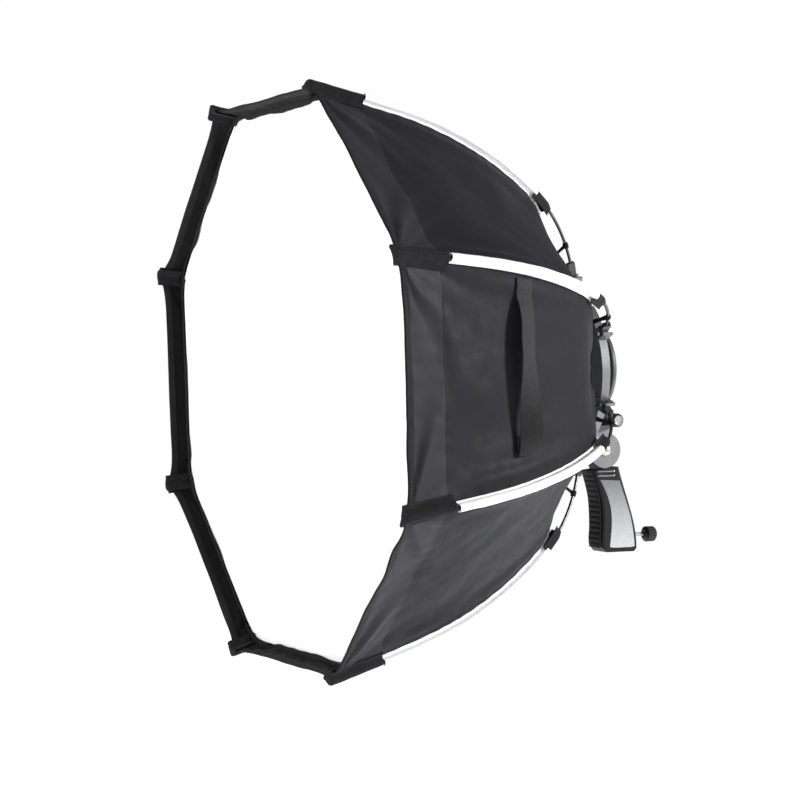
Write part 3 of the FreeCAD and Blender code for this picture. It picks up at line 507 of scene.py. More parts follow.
class Finish:
    """A material with a few short ways to add nodes to it."""

    def __init__(self, name, **sockets):
        self.material = bpy.data.materials.new(name)
        self.material.use_nodes = True
        self.tree = self.material.node_tree
        self.shader = self.tree.nodes["Principled BSDF"]
        for socket, value in sockets.items():
            self.shader.inputs[socket.replace("_", " ")].default_value = value
        self.height = None

    def node(self, kind, **settings):
        made = self.tree.nodes.new("ShaderNode" + kind)
        for key, value in settings.items():
            if key in made.inputs:
                made.inputs[key].default_value = value
            else:
                setattr(made, key, value)
        return made

    def join(self, source, target):
        self.tree.links.new(source, target)

    def place(self, uv=False):
        coordinates = self.node("TexCoord")
        return coordinates.outputs["UV" if uv else "Object"]

    def noise(self, where, scale, detail=3.0, roughness=0.55):
        made = self.node("TexNoise", Scale=scale, Detail=detail, Roughness=roughness)
        self.join(where, made.inputs["Vector"])
        return made.outputs["Fac"]

    def stretch(self, where, scale):
        made = self.node("Mapping")
        made.inputs["Scale"].default_value = scale
        self.join(where, made.inputs["Vector"])
        return made.outputs["Vector"]

    def math(self, operation, a, b=None, c=None):
        made = self.node("Math", operation=operation)
        for socket, value in zip(made.inputs, (a, b, c)):
            if value is None:
                continue
            if isinstance(value, (int, float)):
                socket.default_value = value
            else:
                self.join(value, socket)
        return made.outputs[0]

    def ramp(self, source, low, high, low_value, high_value):
        """Maps a range of numbers to another, held at its ends."""
        made = self.node("MapRange")
        ends = {"From Min": low, "From Max": high, "To Min": low_value, "To Max": high_value}
        for key, value in ends.items():
            made.inputs[key].default_value = value
        self.join(source, made.inputs["Value"])
        return made.outputs["Result"]

    def axes(self, where):
        """The three coordinates of a place."""
        made = self.node("SeparateXYZ")
        self.join(where, made.inputs[0])
        return made.outputs

    def mix(self, factor, low, high):
        """The first colour where the factor is 0, and the second where it is 1."""
        made = self.node("Mix", data_type="RGBA")
        for socket, value in ((made.inputs[6], low), (made.inputs[7], high)):
            if isinstance(value, tuple):
                socket.default_value = (*value, 1.0)
            else:
                self.join(value, socket)
        self.join(factor, made.inputs[0])
        return made.outputs[2]

    def colour(self, source):
        self.join(source, self.shader.inputs["Base Color"])

    def mottled(self, where, scale, low, high, detail=4.0):
        """Base colour that drifts between two colours."""
        self.colour(self.mix(self.noise(where, scale, detail), low, high))

    def cells(self, where, scale):
        """Distance from the middle of each grain."""
        made = self.node("TexVoronoi", Scale=scale)
        self.join(where, made.inputs["Vector"])
        return made.outputs["Distance"]

    def roughness(self, source, low, high):
        self.join(self.ramp(source, 0.25, 0.75, low, high), self.shader.inputs["Roughness"])

    def relief(self, source, distance, strength=1.0):
        """Adds one more layer of bump."""
        made = self.node("Bump", Strength=strength, Distance=distance)
        self.join(source, made.inputs["Height"])
        if self.height is not None:
            self.join(self.height, made.inputs["Normal"])
        self.height = made.outputs["Normal"]
        self.join(self.height, self.shader.inputs["Normal"])

    def weave(self, where, pitch):
        """Height of a plain weave with threads the given distance apart."""
        warp, weft = (self.math("SINE", self.math("MULTIPLY", axis, math.pi / pitch))
                      for axis in self.axes(where)[:2])
        return self.math("MULTIPLY", warp, weft)

    def stitches(self, where, rows, pitch=4.2 * MM):
        """1 on the stitches of straight rows at the given distances along V, and 0 elsewhere."""
        across, along, _ = self.axes(where)
        run = self.math("FRACT", self.math("DIVIDE", across, pitch))
        dash = self.math("LESS_THAN", run, 0.68)
        total = None
        for at in rows:
            away = self.math("ABSOLUTE", self.math("SUBTRACT", along, at))
            line = self.math("MULTIPLY", self.ramp(away, 0.35 * MM, 0.75 * MM, 1.0, 0.0), dash)
            total = line if total is None else self.math("MAXIMUM", total, line)
        return total


def fabric_finish():
    """Coated black polyester: fine weave, a front band painted lighter as a painted highlight of its folds,
    stitching at the rim and the band seam.
    """
    made = Finish("canopy_cloth", Roughness=0.55, Sheen_Weight=0.04, Sheen_Roughness=0.4,
                  Sheen_Tint=(0.7, 0.75, 1.0, 1.0), Specular_IOR_Level=0.05)
    where = made.place(uv=True)
    cloudy = made.noise(where, 9.0, 4.0)
    # painted highlight: the cloth in front of the band seam gets a lighter colour, standing in for the sheen on
    # its folds
    band = made.math("LESS_THAN", made.axes(where)[1], BAND_SEAM)
    body = made.mix(cloudy, (0.009, 0.0089, 0.0105), (0.0155, 0.0152, 0.018))
    front = made.mix(cloudy, (0.017, 0.0167, 0.02), (0.027, 0.0266, 0.0315))
    thread = made.stitches(where, (9.5 * MM, 12.5 * MM, BAND_SEAM + 1.5 * MM))
    made.colour(made.mix(thread, made.mix(band, body, front), (0.0015, 0.0015, 0.002)))
    made.roughness(made.noise(where, 60.0, 3.0), 0.46, 0.62)
    crease = made.noise(made.stretch(where, (1.0, 0.55, 1.0)), 30.0, 5.0, 0.55)
    made.relief(crease, 1.6 * MM, 0.4)
    made.relief(made.weave(where, 0.55 * MM), 0.05 * MM, 0.35)
    made.relief(thread, 0.5 * MM, 0.8)
    return made.material


def lining_finish():
    """Crinkled silver lining."""
    made = Finish("silver_lining", Metallic=0.75, Roughness=0.34)
    where = made.place(uv=True)
    made.mottled(where, 30.0, (0.62, 0.63, 0.65), (0.78, 0.79, 0.8), 3.0)
    made.relief(made.noise(where, 45.0, 5.0), 2.0 * MM, 0.5)
    made.relief(made.cells(where, 260.0), 0.5 * MM, 0.6)
    made.roughness(made.noise(where, 90.0), 0.28, 0.42)
    return made.material


def webbing_finish(name, colour, shine=0.3):
    """Ribbed narrow webbing, with thicker cross threads."""
    made = Finish(name, Roughness=0.7, Sheen_Weight=0.03, Sheen_Roughness=0.5, Specular_IOR_Level=shine)
    where = made.place(uv=True)
    made.mottled(where, 140.0, tuple(c * 0.65 for c in colour), colour)
    made.roughness(made.noise(where, 200.0), 0.58, 0.78)
    made.relief(made.weave(made.stretch(where, (1.0, 0.45, 1.0)), 0.7 * MM), 0.25 * MM, 0.7)
    made.relief(made.noise(where, 80.0, 4.0), 0.8 * MM, 0.35)
    return made.material


def loop_finish():
    """Brushed loop side of hook-and-loop tape."""
    made = Finish("loop_tape", Roughness=0.9, Sheen_Weight=0.03, Sheen_Roughness=0.6, Specular_IOR_Level=0.02)
    where = made.place(uv=True)
    patches = made.noise(where, 210.0, 5.0, 0.65)
    made.colour(made.mix(patches, (0.004, 0.004, 0.0045), (0.02, 0.02, 0.0215)))
    made.roughness(made.noise(where, 90.0), 0.8, 0.95)
    made.relief(patches, 1.6 * MM, 0.9)
    made.relief(made.noise(where, 900.0, 3.0), 0.4 * MM, 0.8)
    return made.material


def screw_knob_finish(shoulder):
    """Black knob on a bright steel screw; the screw shows in front of the shoulder."""
    made = Finish("knob_and_screw", Roughness=0.4, Specular_IOR_Level=0.2)
    where = made.place()
    knob = made.math("GREATER_THAN", made.axes(where)[1], shoulder)
    marks = made.noise(where, 500.0, 3.0)
    steel = made.mix(marks, (0.2, 0.198, 0.196), (0.34, 0.337, 0.334))
    black = made.mix(marks, (0.005, 0.005, 0.0055), (0.011, 0.011, 0.012))
    made.colour(made.mix(knob, steel, black))
    made.join(made.math("SUBTRACT", 1.0, knob), made.shader.inputs["Metallic"])
    made.roughness(marks, 0.26, 0.4)
    made.relief(marks, 0.1 * MM, 0.5)
    return made.material


def sleeve_finish():
    """White woven sleeve cloth with small creases across it."""
    made = Finish("sleeve_cloth", Roughness=0.6, Sheen_Weight=0.1, Specular_IOR_Level=0.35)
    where = made.place(uv=True)
    made.mottled(where, 40.0, (0.74, 0.742, 0.752), (0.86, 0.86, 0.862))
    crease = made.noise(made.stretch(where, (0.35, 1.0, 1.0)), 120.0, 4.0)
    made.relief(crease, 1.2 * MM, 0.55)
    made.relief(made.weave(where, 0.5 * MM), 0.07 * MM, 0.6)
    made.roughness(made.noise(where, 90.0), 0.5, 0.68)
    return made.material


def diffuser_finish():
    """White translucent ripstop cloth."""
    made = Finish("diffuser_cloth", Roughness=0.55, Specular_IOR_Level=0.25, Subsurface_Weight=0.2,
                  Subsurface_Scale=0.01, Subsurface_Radius=(1.0, 1.0, 1.0), Sheen_Weight=0.1)
    where = made.place(uv=True)
    made.mottled(where, 6.0, (0.9, 0.905, 0.925), (0.95, 0.955, 0.97), 3.0)
    ripstop = []
    for axis in made.axes(where)[:2]:
        run = made.math("FRACT", made.math("DIVIDE", axis, 5.0 * MM))
        ripstop.append(made.ramp(made.math("ABSOLUTE", made.math("SUBTRACT", run, 0.5)), 0.0, 0.08, 1.0, 0.0))
    made.relief(made.noise(where, 16.0, 4.0), 2.5 * MM, 0.35)
    made.relief(made.math("MAXIMUM", *ripstop), 0.12 * MM, 0.5)
    made.relief(made.weave(where, 0.35 * MM), 0.05 * MM, 0.4)
    return made.material


def moulded_finish(name, low, high, grain, depth, rough=(0.42, 0.6), specular=0.45):
    """Moulded plastic or rubber with a fine grain and worn, slightly glossier high spots."""
    made = Finish(name, Roughness=0.5, Specular_IOR_Level=specular)
    where = made.place()
    made.mottled(where, 55.0, low, high)
    made.roughness(made.noise(where, 130.0, 4.0), *rough)
    made.relief(made.cells(where, grain), depth, 0.6)
    made.relief(made.noise(where, 400.0, 2.0), 0.08 * MM, 0.5)
    return made.material


def panel_finish():
    """Silver flake moulding with painted shade and light: darker at the top, graded to paler at the foot."""
    made = Finish("side_panel_inlay", Roughness=0.4, Specular_IOR_Level=0.4)
    where = made.place()
    flake = made.noise(where, 620.0, 3.0, 0.7)
    # painted shade and light: the colour is shaded darker at the top and lit paler at the foot
    height = made.ramp(made.axes(where)[2], 12 * MM, 96 * MM, 1.0, 0.0)
    shaded_top = made.mix(flake, (0.05, 0.051, 0.054), (0.2, 0.203, 0.21))
    lit_foot = made.mix(flake, (0.26, 0.264, 0.272), (0.5, 0.505, 0.515))
    made.colour(made.mix(height, shaded_top, lit_foot))
    made.roughness(flake, 0.32, 0.46)
    made.relief(flake, 0.4 * MM, 0.5)
    return made.material


def metal_finish(name, low, high, rough, metallic=1.0, grain=(1.0, 1.0, 1.0), depth=0.12 * MM, scale=220.0):
    """Cast, turned or painted metal. grain stretches the marks left by tools."""
    made = Finish(name, Metallic=metallic, Roughness=rough[0])
    where = made.place()
    made.mottled(where, 40.0, low, high)
    marks = made.noise(made.stretch(where, grain), scale, 4.0, 0.6)
    made.roughness(marks, *rough)
    made.relief(marks, depth, 0.5)
    return made.material


FABRIC = fabric_finish()
LINING = lining_finish()
INNER = webbing_finish("inner_border", (0.006, 0.006, 0.0065), 0.05)
BINDING = webbing_finish("rim_binding", (0.009, 0.009, 0.01), 0.1)
WEBBING = webbing_finish("black_webbing", (0.007, 0.007, 0.008), 0.1)
STRAP = webbing_finish("strap_webbing", (0.011, 0.011, 0.012), 0.2)
WRAP = loop_finish()
SLEEVE = sleeve_finish()
DIFFUSER = diffuser_finish()
GRIP = moulded_finish("grip_shell_plastic", (0.004, 0.004, 0.0045), (0.011, 0.011, 0.012), 800.0, 0.25 * MM,
                      (0.34, 0.5), 0.15)
PANEL = panel_finish()
RUBBER = moulded_finish("finger_rubber", (0.006, 0.006, 0.006), (0.012, 0.012, 0.013), 1100.0, 0.06 * MM,
                        (0.5, 0.66), 0.1)
KNOB = moulded_finish("knob_nylon", (0.007, 0.007, 0.008), (0.015, 0.015, 0.016), 1000.0, 0.06 * MM,
                      (0.3, 0.44), 0.4)
CAST = metal_finish("satin_casting", (0.09, 0.091, 0.095), (0.15, 0.152, 0.156), (0.36, 0.5), 0.8)
FLANGE = metal_finish("dark_casting", (0.07, 0.071, 0.074), (0.12, 0.121, 0.125), (0.36, 0.5), 0.6)
NECK = metal_finish("black_casting", (0.01, 0.01, 0.011), (0.022, 0.022, 0.024), (0.34, 0.48), 0.2)
RING = metal_finish("ring_casting", (0.12, 0.122, 0.126), (0.2, 0.202, 0.208), (0.38, 0.52), 0.7)
LUG = metal_finish("painted_lug", (0.01, 0.01, 0.011), (0.024, 0.024, 0.025), (0.28, 0.42), 0.1)
STEEL = metal_finish("turned_steel", (0.4, 0.4, 0.41), (0.58, 0.58, 0.59), (0.24, 0.36), 1.0, (1, 1, 9))
ROD = metal_finish("oxide_rod", (0.05, 0.048, 0.047), (0.11, 0.106, 0.104), (0.26, 0.4), 0.9, (6, 1, 6))
SCREW = metal_finish("black_screw", (0.03, 0.03, 0.031), (0.07, 0.07, 0.072), (0.3, 0.42), 0.8)
TRIM = metal_finish("trim_bar", (0.1, 0.1, 0.103), (0.2, 0.2, 0.205), (0.25, 0.4), 0.6)
BOLT = metal_finish("bolt_head", (0.4, 0.375, 0.31), (0.56, 0.53, 0.45), (0.2, 0.3), 0.7, depth=0.04 * MM)
THUMB = screw_knob_finish(KNOB_SHOULDER)
FORK = metal_finish("blasted_fork", (0.1, 0.101, 0.105), (0.19, 0.192, 0.197), (0.4, 0.55), 0.5, scale=420.0)

CAD_FINISHES = {
    "rib_rod": ROD, "rib_lug": LUG, "grip_near_shell": GRIP, "grip_far_shell": GRIP, "near_side_panel": PANEL,
    "far_side_panel": PANEL, "tilt_knuckle": CAST, "stand_socket": STEEL, "shell_screws": SCREW,
    "thumb_screw": THUMB, "clamp_knob": KNOB, "tilt_lock_knob": KNOB, "tilt_fork": FORK, "neck_block": NECK,
    "hub_barrel": CAST, "rear_flange": FLANGE, "hinge_ring": RING, "hinge_pins": SCREW, "pivot_bolt": BOLT,
}


def finish_cad_nodes():
    """Gives each carried-over CAD node its material."""
    for name, node in frame["nodes"].items():
        material = CAD_FINISHES.get(name.rstrip("0123456789").rstrip("_"))
        if material is not None:
            node.data.materials.clear()
            node.data.materials.append(material)


# -------------------------------------------------------------------- gores

# Where each half gore is divided: the strip beside the rib moves with it, and so does the rest of the half gore.
FOLD_LIMIT = math.radians(JOINTS["rib_fold_1"]["range_deg"][1])
SPLIT_FROM_RIB = 9.0 * MM


def fold_plane():
    """In a rib's frame: a point and normal of the plane that divides its half gore, and how much of the
    far part's width is kept, so that neighbouring gores still meet halfway between the ribs when folded."""
    widen = math.tan(HALF_ANGLE)
    hinge = np.array([HINGE_RADIUS, HINGE_DEPTH, widen * HINGE_RADIUS])
    crease = np.array([1.0, math.tan(FOLD_LIMIT / 2), widen])
    crease /= np.linalg.norm(crease)
    front = np.array([LINE[0, 0], 0.0, SPLIT_FROM_RIB])
    normal = np.cross(crease, front - hinge)
    normal /= np.linalg.norm(normal)
    normal *= np.sign(normal[2])
    middle = np.array([-widen * math.cos(FOLD_LIMIT), -widen * math.sin(FOLD_LIMIT), 1.0])
    rest = np.cross(crease, np.array([-widen, 0.0, 1.0]))
    rest /= np.linalg.norm(rest)
    lost = (middle @ rest) / ((rest @ normal) * (normal @ middle))
    return hinge, normal, 1.0 - lost


PLANE_POINT, PLANE_NORMAL, FOLD_KEEP = fold_plane()


def plane_in_head(number, side):
    """The fold plane of one side of a rib, in the head frame."""
    axes = rib_axes(number)
    mirror = np.array([1.0, 1.0, side])
    return combine(axes, *(PLANE_POINT * mirror)), combine(axes, *(PLANE_NORMAL * mirror))


def split_across(surface, steps, point, normal, start):
    """For each row, the across value where a surface meets the fold plane, between the rib and the middle."""
    near, far = np.full(len(steps), float(start)), np.full(len(steps), 0.015 * start)
    for _ in range(15):
        middle = (near + far) / 2
        beyond = (surface(middle, steps) - point) @ normal > 0
        far = np.where(beyond, middle, far)
        near = np.where(beyond, near, middle)
    return far


class Strip:
    """A sewn strip on one gore: a surface of (across, step), its rows of steps, skin and materials."""

    def __init__(self, surface, steps, skin, outward, slots):
        self.surface, self.steps, self.skin = surface, steps, skin
        self.outward, self.slots = outward, slots


def gore_sides(rib):
    """Each side of a rib, with the gore there and its across value at the rib."""
    return (1, rib % 8, -1.0), (-1, rib - 1, 1.0)


def gore_strips(number):
    """The cloth, rim binding, rear hem and lip of one gore."""
    def cloth(across, along):
        return gore_surface(number, across, along)

    def off_cloth(across, along, lift):
        normal = facing(cloth, across, along, gore_outward(number, along))
        return cloth(across, along) + normal * lift[..., None]

    def folded_tape(edge, inward, width, lift):
        """Tape folded over an edge of the cloth: out along its face, round the edge, back inside."""
        turn = CLOTH / 2 + lift

        def surface(across, step):
            across, step = as_grids(across, step)
            outside = np.maximum(-step, 0.0)
            bend = np.clip(step / (math.pi * turn), 0.0, 1.0) * math.pi
            inside = np.maximum(step - math.pi * turn, 0.0)
            along = edge + inward * (outside + inside)
            level = -CLOTH / 2 + turn * np.cos(bend)
            beyond = facing_along(cloth, across, np.full_like(step, edge)) * (-inward)
            return off_cloth(across, along, level) + beyond * (turn * np.sin(bend))[..., None]

        flat_rows = np.linspace(-width, 0.0, 5)
        round_rows = np.linspace(0.0, math.pi * turn, 7)[1:-1]
        inner_rows = math.pi * turn + np.linspace(0.0, width * 0.85, 4)
        return surface, np.concatenate([flat_rows, round_rows, inner_rows])

    def lip(across, step):
        """The narrow tape behind which the diffuser is pressed on, wavy and rounded in its corners."""
        across, step = as_grids(across, step)
        along = LIP_DEPTH + 1.2 * MM - rim_bow(across) * 0.55
        root = off_cloth(across, along, np.full_like(across, -CLOTH * 0.9))
        wave = 1.0 + 0.45 * value_noise(across * 3.5, number, 31)
        rounded = 0.9 * np.maximum(1 - (1 - np.abs(across)) / 0.14, 0.0) ** 2
        inward = step * (wave + rounded)
        return root - combine(panel_axes(number), inward * math.cos(HALF_ANGLE), -0.04 * inward,
                              across * inward * math.sin(HALF_ANGLE))

    rim, rim_steps = folded_tape(0.0, 1.0, BINDING_WIDTH, 1.0 * MM)
    hem, hem_steps = folded_tape(GORE_LENGTH, -1.0, HEM_WIDTH, 1.0 * MM)

    def cloth_out(across, along):
        return gore_outward(number, along)

    def tape_out(step, steps, edge, ahead):
        bend = np.clip(step / steps[-4], 0.0, 1.0)[..., None] * math.pi
        return gore_outward(number, np.full_like(step, edge)) * np.cos(bend) + ahead * np.sin(bend)

    def rim_out(across, step):
        return tape_out(step, rim_steps, 0.0, FORWARD)

    def hem_out(across, step):
        back = facing_along(cloth, np.zeros_like(step), np.full_like(step, GORE_LENGTH - 1 * MM))
        return tape_out(step, hem_steps, GORE_LENGTH, back)

    rows = np.linspace(0.0, GORE_LENGTH, GORE_ROWS)
    lining = np.where(rows[:-1] < INNER_BLACK, INNER_BORDER, SILVER)
    tape = (TAPE,) * 3
    return [Strip(cloth, rows, CLOTH, cloth_out, (OUTER_CLOTH, lining, OUTER_CLOTH)),
            Strip(rim, rim_steps, TAPE_THICKNESS, rim_out, tape),
            Strip(hem, hem_steps, TAPE_THICKNESS, hem_out, tape),
            Strip(lip, np.linspace(0.0, LIP_WIDTH, 5), LIP_THICKNESS, lambda across, step: FORWARD, tape)]


def facing_along(surface, across, along):
    """Unit direction in which a surface runs back."""
    return unit(surface(across, along + SMALL_STEP) - surface(across, along - SMALL_STEP))


def strip_rows(strip, columns):
    """Top, underside, normals and UVs of a strip on a grid of across values."""
    steps = np.broadcast_to(strip.steps[:, None], columns.shape)
    outward = strip.outward(columns, steps)
    top = strip.surface(columns, steps)
    normal = facing(strip.surface, columns, steps, outward)
    half_chord = np.linalg.norm(strip.surface(np.ones(len(strip.steps)), strip.steps)
                                - strip.surface(-np.ones(len(strip.steps)), strip.steps), axis=1) / 2
    uv = np.stack([columns * half_chord[:, None], steps], -1)
    return top, top - normal * strip.skin, normal, uv


def gore_pieces(rib):
    """The three cloth pieces that one rib carries: the strip along the rib, and the rest of each side."""
    core = Skin()
    wings, halves = {}, {}
    for side, panel, start in gore_sides(rib):
        point, normal = plane_in_head(rib, side)
        wings[side], halves[side] = Skin(), []
        for strip in gore_strips(panel):
            split = split_across(strip.surface, strip.steps, point, normal, start)
            beside = start + (split - start)[:, None] * np.linspace(0.0, 1.0, STRIP_COLUMNS)
            rest = split[:, None] * np.linspace(1.0, 0.0, WING_COLUMNS)
            wings[side].slab(*strip_rows(strip, rest), strip.slots)
            halves[side].append((strip_rows(strip, beside), strip.slots))
    for (one, slots), (other, _) in zip(halves[1], halves[-1]):
        top, under, normal, uv = [np.concatenate([b[:, :0:-1], a], 1) for a, b in zip(one, other)]
        seam = one[0].shape[1] - 1
        middle = one[2][:, 0] + other[2][:, 0]
        long = np.linalg.norm(middle, axis=1, keepdims=True)
        normal[:, seam] = middle / long
        skin = np.linalg.norm(one[0][:, 1] - one[1][:, 1], axis=1)[:, None]
        under[:, seam] = top[:, seam] - normal[:, seam] * skin * 2 / long
        uv[:, :seam, 0] -= 2 * np.abs(uv[:, seam:seam + 1, 0])
        core.slab(top, under, normal, uv, slots)
    return core, wings


def make_gores():
    for rib in RIB_NUMBERS:
        core, wings = gore_pieces(rib)
        for skin, word, side in ((core, "strip", None), (wings[1], "left", 1), (wings[-1], "right", -1)):
            piece = skin.build("gore_%d_%s" % (rib, word), [FABRIC, LINING, BINDING, INNER], True)
            pattern_area(piece)
            fit(piece, "rib_%d" % rib, "canopy_fabric", "canopy_panel_%d" % rib)
            if side is not None:
                point, normal = plane_in_head(rib, side)
                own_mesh(piece)


# ------------------------------------------------------- pieces on the ribs

def rib_frame_points(rib, distance, outward, sideways):
    """Points beside a rib's centre line, in the head frame."""
    radius, depth, lean = rib_point(distance)
    return combine(rib_axes(rib), radius + outward * np.cos(lean), depth + outward * np.sin(lean), sideways)


def rib_direction(rib, out, back):
    """A direction in the plane of a rib, in the head frame."""
    radial, axial, _ = rib_axes(rib)
    return out * radial + back * axial


def make_sleeve(rib):
    """White cloth tube round the rod, creased and pinched to the seam below it."""
    distance = np.linspace(SLEEVE_START, SLEEVE_END, 84)[:, None]
    around = ring_angles(36)
    run = np.sin(np.pi * (distance - SLEEVE_START) / (SLEEVE_END - SLEEVE_START))
    crease = 0.28 * MM * layered_noise(distance / 0.014, np.sin(around) * 2, rib)
    crease = crease + 0.3 * MM * value_noise(distance / 0.035, np.cos(around) * 1.5, rib + 40)
    reach = SLEEVE_RADIUS * (0.94 + 0.06 * run ** 0.3) + crease
    outward = reach * np.cos(around)
    pinch = smooth_step(-outward, 1.0 * MM, 6.0 * MM)
    sideways = reach * np.sin(around) * (1 - 0.42 * pinch)
    top = rib_frame_points(rib, distance, outward - pinch * 0.9 * MM, sideways)
    centre = rib_frame_points(rib, distance, 0.0, 0.0)
    return thin_piece("sleeve_%d" % rib, SLEEVE, top, grid(around * 6 * MM, distance), 0.8 * MM,
                      top - centre, wrap=True)


def laid_over_corner(rib, along, sideways, lift):
    """Points above the two gores beside a rib, at a distance to the side of the sewn corner."""
    along, sideways, lift = as_grids(along, sideways, lift)
    radius, _, radius_slope, depth_slope = corner(along)
    half_chord = radius * math.sin(HALF_ANGLE)
    result = np.zeros(along.shape + (3,))
    normals = np.zeros_like(result)
    for side, panel, start in gore_sides(rib):
        here = sideways * side >= 0
        across = start * (1 - np.abs(sideways) / half_chord)
        result[here] = gore_surface(panel, across, along)[here]
        normals[here] = gore_outward(panel, along)[here]
    middle = combine(rib_axes(rib), depth_slope, -radius_slope, np.zeros_like(along))
    share = np.exp(-(sideways / (5 * MM)) ** 2)[..., None]
    return result + unit(normals * (1 - share) + middle * share) * lift[..., None]


def arch(sideways, height, half_width, flat, power=3.2):
    """Lift of cloth that lies flat at its sides and arches over something in its middle."""
    return flat + (height - flat) * np.exp(-(np.abs(sideways) / half_width) ** power)


def make_piping(rib):
    """Narrow white flange under the sleeve, which runs on towards the hub as piping."""
    skin = Skin()
    along = np.linspace(FLANGE_START, FLANGE_END, 80)[:, None]
    sideways = spread(FLANGE_HALF_WIDTH, 11)
    lift = 1.0 * MM + 1.4 * MM * bump(sideways, 0.0, 2.4 * MM)
    top = laid_over_corner(rib, along, sideways, lift)
    thin_slab(skin, top, grid(sideways, along), 0.8 * MM, rib_direction(rib, 1.0, 0.4))
    along = np.linspace(FLANGE_END, PIPING_END, 16)[:, None]
    around = ring_angles(12)
    rise = 1.3 * MM
    top = laid_over_corner(rib, along, PIPING_RADIUS * np.sin(around), rise + PIPING_RADIUS * np.cos(around))
    centre = laid_over_corner(rib, along, 0.0, rise)
    thin_slab(skin, top, grid(around * PIPING_RADIUS, along), 0.6 * MM, top - centre, wrap=True)
    return skin.build("piping_%d" % rib, [SLEEVE])


def make_wrap(rib):
    """Hook-and-loop wrap that holds the rod's tip: over the rim and back along the rib."""
    def rows(back, rim, inside):
        """One value for each row: 26 back along the rib, 5 round the rim and 8 inside."""
        parts = zip((back, rim, inside), (26, 5, 8))
        return np.concatenate([np.linspace(*ends, count) for ends, count in parts])[:, None]

    sideways = spread(WRAP_WIDTH / 2, 31)
    steps = rows((WRAP_LENGTH, 2 * MM), (0.0, 0.0), (2 * MM, 30 * MM))
    bend = rows((0.0, 0.0), (0.15 * math.pi, 0.85 * math.pi), (math.pi, math.pi))
    nose = rows((1.0, 0.9), (0.85, 0.5), (0.4, 0.0))
    row = np.arange(len(steps))[:, None]
    ragged = 0.35 * MM * value_noise(row * 0.4, rib * 1.7)
    high = 10.4 * MM * nose + 2.2 * MM * (1 - nose)
    lift = arch(sideways, high, 6.4 * MM, 2.2 * MM)
    lift = lift + 0.3 * MM * value_noise(sideways / 0.008, steps / 0.013, rib)
    inside = -CLOTH - 2.4 * MM - 0.3 * MM * value_noise(sideways / 0.009, steps / 0.011, rib + 4)
    level = lift + (inside - lift) * np.sin(bend / 2) ** 2
    top = laid_over_corner(rib, steps, sideways + np.sign(sideways) * ragged, level)
    half_chord = corner(steps)[0] * math.sin(HALF_ANGLE)
    bow = rim_bow(1 - np.abs(sideways) / half_chord) * np.exp(-steps / BOW_REACH) * (1 - bend / math.pi * 0.4)
    top = top + FORWARD * (bow + 0.8 * MM * np.sin(bend))[..., None]
    return thin_piece("corner_wrap_%d" % rib, WRAP, top, grid(sideways, (row + 1) * 2.8 * MM), 1.3 * MM,
                      rib_direction(rib, 1.0, 0.2), rows=20)


def make_tab(rib):
    """Short webbing tab over the rod behind the sleeve."""
    distance = np.linspace(TAB_START, TAB_END, 16)[:, None]
    sideways = spread(TAB_WIDTH / 2, 27)
    tail = smooth_step(distance, TAB_END - 9 * MM, TAB_END)
    outward = arch(sideways, 5.0 * MM * (1 - 0.35 * tail), 5.4 * MM, -6.6 * MM, 3.4)
    outward = outward + 0.25 * MM * value_noise(sideways / 0.006, distance / 0.01, rib + 3)
    top = rib_frame_points(rib, distance, outward, sideways * (1 - 0.12 * tail))
    return thin_piece("rear_tab_%d" % rib, WEBBING, top, grid(sideways, distance), 1.3 * MM,
                      rib_direction(rib, 0.6, 0.8))


def make_rib_cloth():
    """Everything sewn along each rib."""
    for rib in RIB_NUMBERS:
        strip, tube, webbing = "gore_%d_strip" % rib, "rib_sleeve_%d" % rib, "rib_webbing_%d" % rib
        sewn = ((make_sleeve(rib), SLEEVE_CUT, "gathered", "rib_rod_%d" % rib, "rib_sleeve", tube),
                (make_piping(rib), PIPING_CUT, "stretched", strip, "rib_sleeve"),
                (make_wrap(rib), WRAP_CUT, "folded", strip, "webbing", webbing),
                (make_tab(rib), TAB_CUT, "folded", "sleeve_%d" % rib, "webbing", webbing))
        for piece, cut, held, rests_on, slot, *stands_for in sewn:
            fit(piece, "rib_%d" % rib, slot, *stands_for)


# -------------------------------------------------------- diffuser and strap

def make_diffuser():
    """White front cloth with a doubled hem, pressed on behind the lip."""
    wall = np.interp(DIFFUSER_DEPTH, LINE[:, 1], LINE[:, 0]) - 5.5 * MM
    rings = np.concatenate([[0.004], np.linspace(0.03, 0.955, 44), np.linspace(0.965, 1.0, 5)])[:, None]
    angle = ring_angles(384)
    folded = np.mod(angle + HALF_ANGLE, 2 * HALF_ANGLE) - HALF_ANGLE
    edge = wall * math.cos(HALF_ANGLE) / np.cos(folded)
    corner_cut = 4.0 * MM * np.maximum(np.abs(folded) / HALF_ANGLE - 0.75, 0) ** 2 * 16
    reach = rings * (edge - corner_cut)
    x, z = reach * np.cos(angle), reach * np.sin(angle)
    hem = smooth_step(rings, 0.957, 0.963)
    depth = DIFFUSER_DEPTH + 1.2 * MM * layered_noise(x / 0.16, z / 0.16, 3) * (1 - rings ** 4)
    tug = np.cos(angle * 26 + 3 * value_noise(angle * 3, rings * 2, 5))
    depth = depth + 0.5 * MM * tug * rings ** 6 * (1 - hem) + 1.5 * MM * (1 - rings ** 2) - 0.3 * MM * hem
    diffuser = thin_piece("front_diffuser", DIFFUSER, grid(x, depth, z), grid(x, z), 0.6 * MM, FORWARD,
                          wrap=True)
    fit(diffuser, "diffuser", "diffuser_cloth", "diffuser")


# The strap's path down the near gore: height on the gore and how far it stands off, in mm, and its twist.
STRAP_PATH = [(118, 3.0, 0.0), (108, 3.0, 0.0), (98, 3.8, 0.0), (84, 9.0, -0.06), (62, 13.5, -0.12),
              (25, 14.5, -0.1), (-12, 15.0, 0.15), (-42, 16.0, 0.52), (-66, 15.5, 0.62), (-82, 12.5, 0.42),
              (-91, 8.0, 0.22), (-89, 3.6, 0.08), (-80, 2.6, 0.0), (-68, 2.4, 0.0)]


